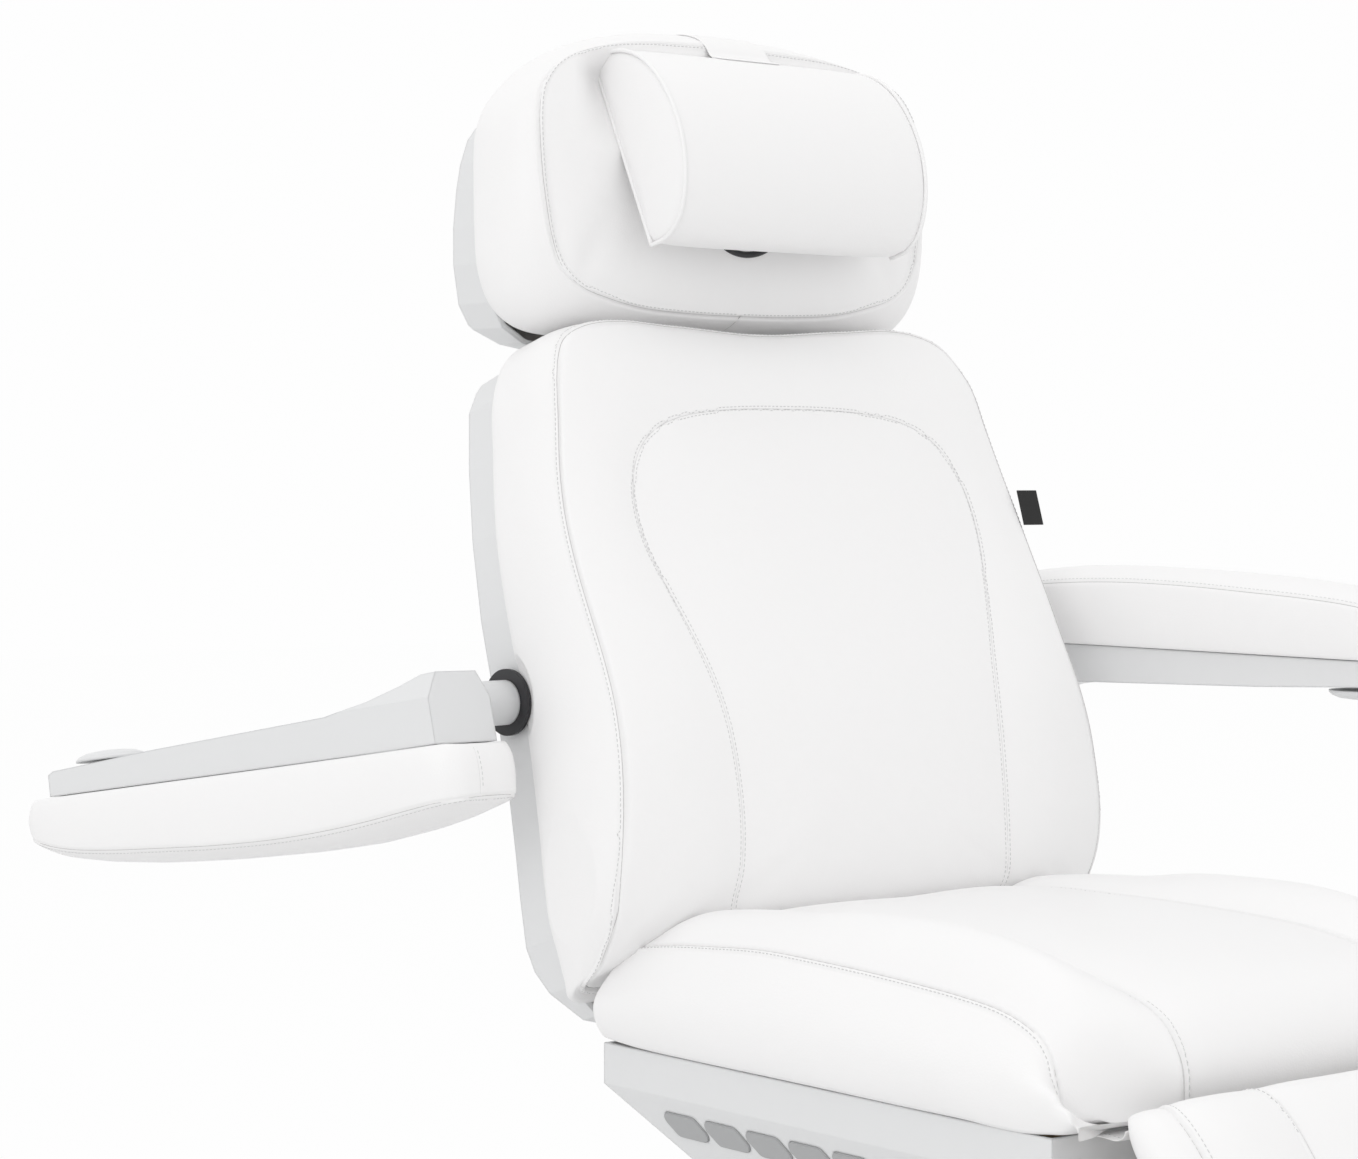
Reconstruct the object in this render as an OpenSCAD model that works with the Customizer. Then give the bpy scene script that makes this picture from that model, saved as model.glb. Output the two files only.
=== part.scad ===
// Cosmetic treatment chair with a lifting column, a reclining back, flip-up arms and a leg rest.
// +X is the patient's left, -Y is the way the chair faces, +Z is up. The origin is on the floor
// under the middle of the base. Seat pieces are drawn from the seat reference line, where the
// top of the seat meets the front of the back: their local axes are X, up and forward.

/* [Placement] */
// Height of the seat reference line above the floor, column down
seat_ref_h = 600; // [590:5:660]
// Distance from the middle of the base back to the seat reference line
seat_ref_y = 200; // [180:5:230]
// Lean of the back from upright, degrees
back_lean = 17; // [12:1:22]
// Slope of the hanging leg rest from upright, degrees
leg_lean = 38; // [30:1:42]
// Swing of the right arm as it stands, degrees
right_arm_angle = 189.5; // [0:0.5:190]
// Swing of the left arm as it stands, degrees
left_arm_angle = 0; // [0:0.5:190]

/* [Base] */
// Width of the base plate
base_w = 560; // [500:10:620]
// Length of the base plate
base_l = 740; // [660:10:800]
// Thickness of the base plate
base_t = 12; // [8:1:16]
// Corner radius of the base plate
base_r = 60; // [40:5:80]
// Height of the levelling feet
foot_h = 22; // [16:1:30]
// Diameter of a levelling foot
foot_d = 50; // [40:2:60]
// Distance of a foot from the plate's edges
foot_in = 60; // [50:5:80]
// Height of the base cover above the floor
cover_top_h = 96; // [90:2:120]
// Gap between the floor and the cover's lower edge
cover_gap = 12; // [8:1:16]
// Reach of the cover past the base plate
cover_over = 16; // [10:1:24]
// Wall of the moulded covers
cover_wall = 4; // [3:0.5:5]
// Inward slope of the cover's sides, over its height
cover_draft = 26; // [15:1:35]

/* [Lifting column] */
// Width of the outer sleeve
column_w = 150; // [140:2:170]
// Depth of the outer sleeve
column_d = 190; // [180:2:210]
// Wall of the sleeves
sleeve_wall = 5; // [4:0.5:6]
// Gap between one sleeve and the next
sleeve_gap = 3; // [2.5:0.5:4]
// From the seat reference line down to the outer sleeve's top
column_drop = 266; // [260:2:276]
// Step from one sleeve top to the next
sleeve_step = 10; // [8:1:14]
// Diameter of the lifting screw
screw_d = 20; // [16:1:24]

/* [Seat] */
// Half width of the seat at the outer seams
seat_half_w = 245; // [230:5:260]
// Bulge of the seat side past the seam
seat_bulge = 36; // [24:2:44]
// Length of the seat cushion from the rear edge to the front
seat_len = 553; // [530:1:560]
// Overhang of the seat cushion behind the reference line
seat_rear = 47; // [40:1:50]
// Depth from the reference line to the underside of the seat cushion
seat_under = 104; // [96:2:112]
// Height of the side bolsters above the reference line
bolster_h = 27; // [16:1:34]
// Half width of the seat's centre panel
seat_panel_half = 155; // [140:5:165]
// Thickness of the plywood boards
board_t = 12; // [9:1:15]

/* [Seat housing] */
// Half width of the housing at its crease
housing_half_w = 262; // [250:2:268]
// Depth of the housing's upright band
housing_band = 35; // [30:1:40]
// Depth of the sloping lower part
housing_drop = 76; // [70:2:90]
// Inward slope of the lower sides, over the drop
housing_slope_in = 40; // [30:2:50]
// Length of the housing behind the reference line
housing_rear = 49; // [44:1:52]
// Length of the housing in front of the reference line
housing_front = 475; // [460:5:480]

/* [Buttons] */
// Number of buttons in the row
button_n = 8; // [8]
// Spacing of the buttons
button_pitch = 52; // [50:1:54]
// Length of a button
button_w = 43; // [38:1:46]
// Height of a button
button_h = 23; // [18:1:26]
// Travel of a button
button_travel = 2; // [1.5:0.5:2.5]

/* [Back] */
// Half width of the back at the hips, on the seam
back_half_w = 285; // [270:5:295]
// Height of the back cushion along the back
back_len = 563; // [540:1:566]
// Length of the back cushion below the reference line
back_below = 66; // [62:1:68]
// Depth of the back cushion at the lumbar bulge
back_depth = 134; // [120:2:140]
// Bulge of the back cushion's side past the seam
back_bulge = 12; // [8:1:16]
// Half width of the back's centre panel at its widest
back_panel_half = 200; // [180:5:210]
// Depth of the shell behind the back cushion
back_shell_depth = 43; // [40:1:48]
// Inset of the shell from the cushion's seam line
back_shell_in = 6; // [4:1:10]

/* [Headrest] */
// Half width of the headrest at the seam
head_half_w = 240; // [225:5:250]
// Height of the headrest cushion
head_h = 268; // [250:2:280]
// Depth of the headrest cushion at the seam
head_depth = 80; // [72:2:90]
// Crown of the headrest's face
head_crown = 9; // [6:1:14]
// Diameter of the face opening
face_d = 100; // [80:5:120]
// Diameter of a headrest post
post_d = 14; // [12:1:16]
// Length of the neck pillow
pillow_len = 288; // [260:4:310]
// Height of the neck pillow
pillow_h = 184; // [160:4:200]
// Thickness of the neck pillow
pillow_t = 84; // [80:2:110]

/* [Arms] */
// Length of the arm pad in front of the pivot
pad_front = 474; // [440:2:490]
// Length of the arm pad behind the pivot
pad_rear = 50; // [44:2:90]
// Width of the arm pad
pad_w = 100; // [90:2:110]
// Height of the arm pad over the casing
pad_h = 76; // [64:2:84]
// Width of the arm casing
casing_w = 80; // [70:2:84]
// Depth of the casing at the pivot
casing_h = 60; // [54:2:64]
// Distance from the pivot to the arm's centre line
arm_out = 99; // [94:1:106]
// Outward splay of a forward arm, degrees
arm_splay = 6.3; // [0:0.1:8]
// Forward yaw of the arm's pivot axis, degrees
arm_yaw = 4.2; // [0:0.1:6]
// Diameter of the arm axle
axle_d = 20; // [16:1:24]
// Diameter of the grip knob
knob_d = 64; // [50:2:80]

/* [Leg rest] */
// Half width of the leg rest at the seams
leg_half_w = 235; // [220:5:245]
// Length of the leg cushion
leg_len = 464; // [430:2:480]
// Height of the leg cushion's seam over its base
leg_t = 45; // [40:1:52]
// Length of the leg cushion above the hinge
leg_above = 24; // [20:1:26]

/* [Hidden] */
cut = 1; // overrun for cuts
soft_gap = 0.5; // clearance round soft solids
run_gap = 0.3; // clearance between moving faces
shaft_gap = 0.05; // radial clearance of a running shaft
fine = 64; // facets of a shown circle
seam_dip = 3; // depth of a sewn seam
steel = "#8d9196";
shell_grey = "#d9dadb";
vinyl = "#f6f6f5";

// Base values
post_side = 16;
flange_over = 30;
flange_t = 8;
bolt_d = 10;
bolt_head_d = 17;
bolt_head_h = 6;
stem_d = 12;
gear_h = 34;
gear_w = 90;
nut_h = 40;
box_w = 150;
box_room = 170;
box_l = base_l / 2 - box_room;
box_h = 42;
box_gap = 30;
inlet_w = 50;
inlet_h = 28;
inlet_t = 6;

// Heights of the column, from the floor
plate_top = foot_h + base_t;
sleeve_z = plate_top;
sleeve_len = seat_ref_h - column_drop - sleeve_z;
mid_w = column_w - 2 * (sleeve_wall + sleeve_gap);
mid_d = column_d - 2 * (sleeve_wall + sleeve_gap);
in_w = mid_w - 2 * (sleeve_wall + sleeve_gap);
in_d = mid_d - 2 * (sleeve_wall + sleeve_gap);
inner_top = sleeve_z + sleeve_len + 2 * sleeve_step;
glide_h = 24;
glide_w = 40;
glide_play = 0.2;
nut_drop = 22;
lift_in = 60;

// Tilt carriage, in seat axes: up and forward of the reference line
carriage_t = 8;
tilt_up = -170;
tilt_fwd = seat_ref_y;
tilt_pin_d = 16;
lug_t = 12;
lug_x = 100;
lug_r = 18;
lug_base = 70;
tilt_arm = 130;
tilt_rise = 20;
tilt_max = 20;
tilt_body_d = 40;
tilt_rod_d = 16;
tilt_body_h = 46;
tilt_floor = 4;
fork_w = 26;
fork_r = 11;
fork_pin_d = 10;
slot_play = 1;

// Seat frame, in seat axes
rail_x = 150;
rail_w = 30;
rail_h = 25;
rail_rear = 30;
rail_front = 466;
board_half_w = 240;
board_edge = 10;
cross_h = 20;
rear_cross_h = 10;
cross_d = 24;
hinge_pin_d = 12;
hinge_r = 12;
hinge_lug_t = 9;
back_pin_up = -82;
back_pin_fwd = -66;
back_swing = 72;
leg_pin_up = -114;
leg_pin_fwd = 530;
leg_swing = 52;
actuator_d = 36;
rod_d = 16;
back_lever = 60;
leg_lever = 55;
lever_t = 10;
actuator_x = 60;
lever_eye = 6;
lever_pin_d = 8;

module block(x0, x1, y0, y1, z0, z1) {
    translate([x0, y0, z0])
        cube([x1 - x0, y1 - y0, z1 - z0]);
}

// A plate drawn in forward and up, running from x0 to x1
module plate(points, x0, x1) {
    translate([x1, 0, 0])
        rotate([0, -90, 0])
            linear_extrude(x1 - x0)
                polygon(points);
}

// A pin or bore along X
module pin_x(d, x0, x1, up, fwd) {
    translate([x0, up, fwd])
        rotate([0, 90, 0])
            cylinder(d = d, h = x1 - x0, $fn = fine);
}

module both_sides() {
    children();
    mirror([1, 0, 0])
        children();
}

module rounded_slab(w, l, t, r) {
    linear_extrude(t)
        union() {
            square([w - 2 * r, l], center = true);
            square([w, l - 2 * r], center = true);
            for (sx = [-1, 1], sy = [-1, 1])
                translate([sx * (w / 2 - r), sy * (l / 2 - r)])
                    circle(r, $fn = fine);
        }
}

// Local axes become X, up and forward of the seat reference line
module at_seat() {
    translate([0, seat_ref_y, seat_ref_h])
        rotate([90, 0, 0])
            children();
}

// A closed skin over loops of equal length, each running anticlockwise seen from the last loop
module skin(loops) {
    n = len(loops[0]);
    m = len(loops);
    first = [for (k = [0:2]) [for (p = loops[0]) p[k]] * [for (p = loops[0]) 1] / n];
    last = [for (k = [0:2]) [for (p = loops[m - 1]) p[k]] * [for (p = loops[0]) 1] / n];
    points = concat([for (l = loops) each l], [first, last]);
    sides = [for (i = [0:m - 2], j = [0:n - 1])
        each [[i * n + j, (i + 1) * n + j, (i + 1) * n + (j + 1) % n],
            [i * n + j, (i + 1) * n + (j + 1) % n, i * n + (j + 1) % n]]];
    caps = [for (j = [0:n - 1])
        each [[m * n, j, (j + 1) % n], [m * n + 1, (m - 1) * n + (j + 1) % n, (m - 1) * n + j]]];
    polyhedron(points = points, faces = concat(sides, caps), convexity = 6);
}

// Mirrors the right half of an outline, first point low and last point high on the middle
function whole(half) = concat(half, [for (k = [len(half) - 2:-1:1]) [-half[k][0], half[k][1]]]);
function between(a, b, share) = a * (1 - share) + b * share;
function loop_at(outline, depth) = [for (p = outline) [p[0], p[1], depth]];

// Base

module base_plate() {
    color(steel)
        translate([0, 0, foot_h])
            difference() {
                rounded_slab(base_w, base_l, base_t, base_r);
                for (sx = [-1, 1], sy = [-1, 1])
                    translate([sx * (base_w / 2 - foot_in), sy * (base_l / 2 - foot_in), -cut])
                        cylinder(d = stem_d, h = base_t + 2 * cut, $fn = fine);
                for (sx = [-1, 1], sy = [-1, 1])
                    translate([sx * (column_w + flange_over) / 2, sy * (column_d + flange_over) / 2, -cut])
                        cylinder(d = bolt_d, h = base_t + 2 * cut, $fn = fine);
            }
}

module levelling_feet() {
    color("#2c2d2f")
        for (sx = [-1, 1], sy = [-1, 1])
            translate([sx * (base_w / 2 - foot_in), sy * (base_l / 2 - foot_in), 0]) {
                cylinder(d = foot_d, h = foot_h, $fn = fine);
                cylinder(d = stem_d, h = foot_h + base_t, $fn = fine);
            }
}

// The tapered outside of the base cover, grown by g on every side
module cover_form(g, top) {
    w = base_w / 2 + cover_over + g;
    l = base_l / 2 + cover_over + g;
    in = cover_draft * top / (cover_top_h - cover_gap);
    translate([0, 0, cover_gap])
        intersection() {
            rounded_slab(2 * w, 2 * l, top, base_r + cover_over + g);
            rotate([90, 0, 0])
                linear_extrude(2 * l, center = true)
                    polygon([[-w, 0], [w, 0], [w - in, top], [in - w, top]]);
            rotate([90, 0, 90])
                linear_extrude(2 * w, center = true)
                    polygon([[-l, 0], [l, 0], [l - in, top], [in - l, top]]);
        }
}

module base_cover() {
    collar_w = column_w + flange_over * 2 + bolt_head_d;
    collar_d = column_d + flange_over * 2 + bolt_head_d;
    post_x = base_w / 2 - foot_in - foot_d;
    post_y = base_l / 2 - foot_in - foot_d / 2;
    color(shell_grey)
        difference() {
            union() {
                difference() {
                    cover_form(0, cover_top_h - cover_gap);
                    translate([0, 0, -cut])
                        cover_form(-cover_wall, cover_top_h - cover_gap - cover_wall + cut);
                }
                for (sx = [-1, 1], sy = [-1, 1])
                    translate([sx * post_x, sy * post_y, plate_top])
                        cylinder(d = post_side, h = cover_top_h - cover_wall / 2 - plate_top, $fn = fine);
            }
            translate([0, 0, cover_top_h / 2])
                rounded_slab(column_w + 2 * sleeve_gap, column_d + 2 * sleeve_gap, cover_top_h, sleeve_wall);
            translate([-inlet_w / 2, base_l / 2 - cover_wall * 4, plate_top + cover_wall])
                cube([inlet_w, cover_wall * 4 + cover_over * 2, inlet_h]);
        }
}

module sleeve(w, d, z0, len) {
    translate([0, 0, z0])
        difference() {
            rounded_slab(w, d, len, sleeve_wall);
            translate([sleeve_wall - w / 2, sleeve_wall - d / 2, -cut])
                cube([w - 2 * sleeve_wall, d - 2 * sleeve_wall, len + 2 * cut]);
        }
}

module outer_sleeve() {
    color("#c9cbcd") {
        sleeve(column_w, column_d, sleeve_z, sleeve_len);
        translate([0, 0, sleeve_z])
            difference() {
                rounded_slab(column_w + 2 * flange_over, column_d + 2 * flange_over, flange_t, sleeve_wall * 2);
                translate([sleeve_wall - column_w / 2, sleeve_wall - column_d / 2, -cut])
                    cube([column_w - 2 * sleeve_wall, column_d - 2 * sleeve_wall, flange_t + 2 * cut]);
                for (sx = [-1, 1], sy = [-1, 1])
                    translate([sx * (column_w + flange_over) / 2, sy * (column_d + flange_over) / 2, -cut])
                        cylinder(d = bolt_d, h = flange_t + 2 * cut, $fn = fine);
            }
    }
}

module middle_sleeve() {
    color("#d2d4d6")
        sleeve(mid_w, mid_d, sleeve_z + lift_in, sleeve_len - lift_in + sleeve_step);
}

// Glides line the mouth of a sleeve and leave a running gap to the next one
module glides(w, d, top) {
    t = sleeve_gap - glide_play;
    for (s = [-1, 1]) {
        translate([s * (w / 2 - sleeve_wall - t / 2), 0, top - glide_h / 2])
            cube([t, glide_w, glide_h], center = true);
        translate([0, s * (d / 2 - sleeve_wall - t / 2), top - glide_h / 2])
            cube([glide_w, t, glide_h], center = true);
    }
}

module outer_glides() {
    color("#3a3b3d")
        glides(column_w, column_d, sleeve_z + sleeve_len);
}

module middle_glides() {
    color("#3a3b3d")
        glides(mid_w, mid_d, sleeve_z + sleeve_len + sleeve_step);
}

module flange_bolts() {
    color("#6d7074")
        for (sx = [-1, 1], sy = [-1, 1])
            translate([sx * (column_w + flange_over) / 2, sy * (column_d + flange_over) / 2, foot_h]) {
                cylinder(d = bolt_d, h = base_t + flange_t, $fn = fine);
                translate([0, 0, base_t + flange_t])
                    cylinder(d = bolt_head_d, h = bolt_head_h, $fn = 6);
            }
}

module lift_motor() {
    color("#5a5d61")
        difference() {
            union() {
                translate([-gear_w / 2, -gear_w / 2, plate_top])
                    cube([gear_w, gear_w, gear_h]);
                translate([0, 0, plate_top])
                    cylinder(d = screw_d, h = sleeve_len + sleeve_step, $fn = fine);
            }
            translate([0, 0, plate_top - cut])
                cylinder(d = screw_d / 4, h = cut * 2, $fn = fine);
        }
}

module control_box() {
    color("#4c4f53")
        translate([-box_w / 2, column_d / 2 + flange_over + box_gap / 2, plate_top])
            cube([box_w, box_l - box_gap * 2, box_h]);
}

module mains_inlet() {
    y0 = column_d / 2 + flange_over + box_gap / 2 + box_l - box_gap * 2;
    y1 = base_l / 2 + cover_over - cover_draft * (plate_top + cover_wall - cover_gap + inlet_h / 2)
        / (cover_top_h - cover_gap) - cover_wall;
    z0 = plate_top + cover_wall + run_gap;
    color("#2c2d2f")
        difference() {
            translate([run_gap - inlet_w / 2, y0, z0])
                cube([inlet_w - 2 * run_gap, y1 - y0, inlet_h - 2 * run_gap]);
            translate([inlet_t / 2 - inlet_w / 2, y1 - inlet_h / 2, z0 + inlet_t / 2])
                cube([inlet_w - inlet_t, inlet_h, inlet_h - inlet_t - 2 * run_gap]);
        }
}

// Lift carriage: the inner sleeve carries a plate with two lugs that hold the seat's tilt pins

module inner_sleeve() {
    up0 = inner_top - seat_ref_h;
    arm_fwd = tilt_fwd + tilt_arm + tilt_body_d / 2;
    color("#dcdee0") {
        sleeve(in_w, in_d, sleeve_z + lift_in, inner_top - sleeve_z - lift_in);
        at_seat() {
            difference() {
                union() {
                    block(-lug_x - lug_t, lug_x + lug_t, up0, up0 + carriage_t, tilt_fwd - lug_base, tilt_fwd + lug_base);
                    block(-tilt_body_d / 2, tilt_body_d / 2, up0, up0 + carriage_t, tilt_fwd, arm_fwd);
                }
                translate([0, up0 - cut, tilt_fwd])
                    rotate([-90, 0, 0])
                        cylinder(d = screw_d + lug_t, h = carriage_t + 2 * cut, $fn = fine);
            }
            both_sides()
                difference() {
                    union() {
                        plate([[tilt_fwd - lug_base, up0 + carriage_t / 2], [tilt_fwd + lug_base, up0 + carriage_t / 2],
                            [tilt_fwd + lug_r, tilt_up], [tilt_fwd - lug_r, tilt_up]], lug_x, lug_x + lug_t);
                        pin_x(2 * lug_r, lug_x, lug_x + lug_t, tilt_up, tilt_fwd);
                    }
                    pin_x(tilt_pin_d + 2 * shaft_gap, lug_x - cut, lug_x + lug_t + cut, tilt_up, tilt_fwd);
                }
        }
    }
}

module lift_nut() {
    color("#b9a67a")
        difference() {
            translate([0, 0, sleeve_z + lift_in + nut_drop])
                rounded_slab(in_w - 2 * sleeve_wall, in_d - 2 * sleeve_wall, nut_h, sleeve_wall / 4);
            translate([0, 0, sleeve_z + lift_in + nut_drop - cut])
                cylinder(r = screw_d / 2 + shaft_gap, h = nut_h + 2 * cut, $fn = fine);
        }
}

module tilt_actuator() {
    up0 = inner_top - seat_ref_h + carriage_t;
    color("#5a5d61")
        at_seat()
            translate([0, up0, tilt_fwd + tilt_arm])
                rotate([-90, 0, 0])
                    difference() {
                        cylinder(d = tilt_body_d, h = tilt_body_h, $fn = fine);
                        translate([0, 0, tilt_floor])
                            cylinder(r = tilt_rod_d / 2 + shaft_gap, h = tilt_body_h, $fn = fine);
                    }
}

// The rod ends in an eye whose cross pin runs in the seat frame's slot
module tilt_rod() {
    up0 = inner_top - seat_ref_h + carriage_t + tilt_floor;
    up1 = tilt_up + tilt_rise;
    color("#c9cbcd")
        at_seat() {
            translate([0, up0 + run_gap, tilt_fwd + tilt_arm])
                rotate([-90, 0, 0])
                    cylinder(d = tilt_rod_d, h = up1 - up0 - run_gap, $fn = fine);
            pin_x(fork_pin_d, -fork_w / 2, fork_w / 2, up1, tilt_fwd + tilt_arm);
        }
}

// Seat

// Cuts a slot that runs forward through the children
module slotted(x0, x1, up, fwd, half, wide) {
    difference() {
        children();
        pin_x(wide, x0 - cut, x1 + cut, up, fwd - half);
        pin_x(wide, x0 - cut, x1 + cut, up, fwd + half);
        block(x0 - cut, x1 + cut, up - wide / 2, up + wide / 2, fwd - half, fwd + half);
    }
}

rail_top = -seat_under - board_t - soft_gap;
rail_bot = rail_top - rail_h;
tilt_slot_run = tilt_arm * cos(tilt_max) + (tilt_rise + tilt_arm * sin(tilt_max)) * tan(tilt_max) - tilt_arm;

module seat_frame() {
    tx = lug_x + lug_t + run_gap;
    fork_in = tilt_rod_d / 2 + run_gap;
    color(steel)
        at_seat() {
            both_sides() {
                block(rail_x, rail_x + rail_w, rail_bot, rail_top, -rail_rear, rail_front);
                // rear lug, up to the back's pin
                difference() {
                    union() {
                        plate([[-rail_rear + rail_h, rail_bot], [-rail_rear + rail_h, rail_top],
                            [-housing_rear, rail_top], [back_pin_fwd + hinge_r, back_pin_up],
                            [back_pin_fwd - hinge_r, back_pin_up], [back_pin_fwd - hinge_r, rail_bot + hinge_r],
                            [-housing_rear, rail_bot]],
                            rail_x - hinge_lug_t, rail_x);
                        pin_x(2 * hinge_r, rail_x - hinge_lug_t, rail_x, back_pin_up, back_pin_fwd);
                    }
                    pin_x(hinge_pin_d, rail_x - hinge_lug_t - cut, rail_x + cut, back_pin_up, back_pin_fwd);
                }
                // front lug, out to the leg rest's pin
                difference() {
                    union() {
                        plate([[rail_front - rail_h, rail_bot], [leg_pin_fwd, leg_pin_up - hinge_r],
                            [leg_pin_fwd, leg_pin_up], [leg_pin_fwd - hinge_r, rail_top],
                            [rail_front - rail_h, rail_top]], rail_x - hinge_lug_t, rail_x);
                        pin_x(2 * hinge_r, rail_x - hinge_lug_t, rail_x, leg_pin_up, leg_pin_fwd);
                    }
                    pin_x(hinge_pin_d, rail_x - hinge_lug_t - cut, rail_x + cut, leg_pin_up, leg_pin_fwd);
                }
                // tilt lug, down to the carriage's pin
                difference() {
                    union() {
                        plate([[tilt_fwd - lug_r, tilt_up], [tilt_fwd + lug_r, tilt_up],
                            [tilt_fwd + lug_base / 2, rail_top - cross_h], [tilt_fwd - lug_base / 2, rail_top - cross_h]],
                            tx, tx + lug_t);
                        pin_x(2 * lug_r, tx, tx + lug_t, tilt_up, tilt_fwd);
                    }
                    pin_x(tilt_pin_d, tx - cut, tx + lug_t + cut, tilt_up, tilt_fwd);
                }
                block(tx, rail_x + cut, rail_bot, rail_top, tilt_fwd - lug_base / 2, tilt_fwd + lug_base / 2);
            }
            // cross tubes
            block(-rail_x - cut, rail_x + cut, rail_top - rear_cross_h, rail_top, cross_d - rail_rear - lever_t,
                2 * cross_d - rail_rear);
            for (f = [back_body_front, leg_body_rear, rail_front - rail_h - cross_d])
                block(-rail_x - cut, rail_x + cut, rail_top - cross_h, rail_top, f, f + cross_d + lever_t);
            block(-rail_x - cut, rail_x + cut, rail_top - cross_h, rail_top,
                tilt_fwd + tilt_arm - cross_d, tilt_fwd + tilt_arm + cross_d);
            // slotted ears for the tilt rod
            both_sides()
                slotted(fork_in, fork_in + lever_t / 2, tilt_up + tilt_rise, tilt_fwd + tilt_arm + tilt_slot_run / 2,
                    tilt_slot_run / 2, fork_pin_d + 2 * slot_play)
                    block(fork_in, fork_in + lever_t / 2, tilt_up + tilt_rise - fork_r, rail_top - cross_h + cut,
                        tilt_fwd + tilt_arm - cross_d, tilt_fwd + tilt_arm + cross_d);
            // hangers of the back and leg actuators
            block(actuator_x - actuator_d / 2, actuator_x + actuator_d / 2, back_rod_up - actuator_d / 2, rail_top,
                back_body_front, back_body_front + lever_t);
            block(-actuator_x - actuator_d / 2, actuator_d / 2 - actuator_x, leg_rod_up + actuator_d / 2, rail_top,
                leg_body_rear, leg_body_rear + cross_d);
        }
}

// The levers swing evenly to both sides of straight down, so each rod runs level
back_rod_drop = back_lever * (1 + cos(back_swing / 2)) / 2;
leg_rod_drop = leg_lever * (1 + cos(leg_swing / 2)) / 2;
back_rod_up = back_pin_up - back_rod_drop;
leg_rod_up = leg_pin_up - leg_rod_drop;
back_rate_share = 1.12;
leg_rate_share = 1.05;
back_rod_fwd = back_pin_fwd - back_rod_drop * back_rate_share * back_swing * PI / 360;
leg_rod_fwd = leg_pin_fwd - leg_rod_drop * leg_rate_share * leg_swing * PI / 360;
back_slot_play = 2;
leg_slot_play = 1.2;
back_body_rear = 30;
back_body_front = 150;
leg_body_rear = 250;
leg_body_front = 440;
back_rod_len = 150;
leg_rod_len = 130;

module seat_board() {
    color("#c8a878")
        at_seat()
            block(-board_half_w, board_half_w, rail_top, -seat_under - soft_gap, board_edge - rail_rear, rail_front - board_edge);
}

// The housing's outside, drawn in by g
module housing_form(g, top) {
    z1 = -seat_under - soft_gap + top;
    zc = -seat_under - housing_band;
    zb = zc - housing_drop;
    rear = -housing_rear + g;
    front = housing_front - g;
    w = housing_half_w - g;
    intersection() {
        plate([[rear, zc], [rear, z1], [front, z1], [front, zc],
            [front - housing_drop, zb + g], [rear + housing_drop * 1.5, zb + g]], -w, w);
        translate([0, 0, rear])
            linear_extrude(front - rear)
                polygon([[-w, zc], [housing_slope_in - w, zb + g], [w - housing_slope_in, zb + g], [w, zc],
                    [w, z1], [-w, z1]]);
    }
}

housing_wall = 4;
notch_half = 172;
notch_up = 152;

module seat_housing() {
    zb = -seat_under - housing_band - housing_drop;
    color(shell_grey)
        at_seat()
            difference() {
                union() {
                    difference() {
                        housing_form(0, 0);
                        housing_form(housing_wall, cut);
                    }
                    // posts between the end buttons carry the circuit board
                    for (i = [0, button_n - 2])
                        button_at(i)
                            translate([button_pitch / 2, 0, -button_board_gap])
                                cylinder(d = board_post_d, h = button_board_gap - housing_wall / 2, $fn = fine);
                }
                // open underneath, but for a rim
                block(housing_wall + housing_slope_in * 1.4 - housing_half_w, housing_half_w - housing_slope_in * 1.4 - housing_wall,
                    zb - cut, zb + housing_wall + cut, housing_drop * 1.6 - housing_rear, housing_front - housing_drop * 1.2);
                // notches for the hinge lugs and levers
                block(-notch_half, notch_half, -notch_up, 0, -housing_rear - cut, housing_wall * 2);
                block(-notch_half, notch_half, zb - cut, 0, housing_front - housing_drop, housing_front + cut);
                buttons_row()
                    button_form(run_gap, -housing_wall * 2, housing_wall * 2);
            }
}

module seat_cushion() {
    // across: from the middle of the underside out to the side and over to the middle of the top
    across = [
        [0, 0], [0.6, 0], [1, 0], [1.03, 0.16], [1.03, 0.42], [1.01, 0.64]];
    half_w = seat_half_w + seat_bulge;
    depth = seat_under;
    edge = [for (p = across) [p[0] * (half_w - seat_bulge / 4), p[1] * depth]];
    // top points as width, and height over the underside
    top = [
        [seat_half_w + seat_bulge * 0.55, depth * 0.78],
        [seat_half_w, depth * 0.9],
        [between(seat_panel_half, seat_half_w, 0.72), depth + bolster_h * 0.72],
        [between(seat_panel_half, seat_half_w, 0.5), depth + bolster_h],
        [between(seat_panel_half, seat_half_w, 0.24), depth + bolster_h * 0.78],
        [seat_panel_half, depth + bolster_h * 0.2],
        [seat_panel_half * 0.9, depth + bolster_h * 0.3],
        [seat_panel_half * 0.45, depth + bolster_h * 0.22],
        [0, depth + bolster_h * 0.2]];
    outline = whole(concat(edge, top));
    // along: place as a share of the length, then width, height and lift of the underside as shares
    along_shares = [
        [0, 0.92, 0.36, 0.18], [0.008, 0.95, 0.38, 0.12], [0.03, 0.97, 0.46, 0.01], [0.068, 0.985, 0.63, 0],
        [0.09, 0.99, 0.73, 0], [0.13, 1, 0.86, 0], [0.2, 1, 0.92, 0], [0.3, 1, 0.965, 0], [0.42, 1, 1, 0],
        [0.7, 1, 0.985, 0], [0.83, 0.99, 0.95, 0], [0.89, 0.985, 0.9, 0], [0.94, 0.975, 0.81, 0],
        [0.975, 0.965, 0.69, 0], [0.992, 0.95, 0.54, 0], [1, 0.92, 0.38, 0]];
    loops = [for (s = along_shares)
        [for (p = outline) [p[0] * s[1], p[1] * s[2] + s[3] * (depth - p[1] * depth / (depth + bolster_h)) - depth,
            s[0] * seat_len - seat_rear]]];
    color(vinyl)
        at_seat()
            skin(loops);
}

flap_t = 2;
flap_half = 225;

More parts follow.
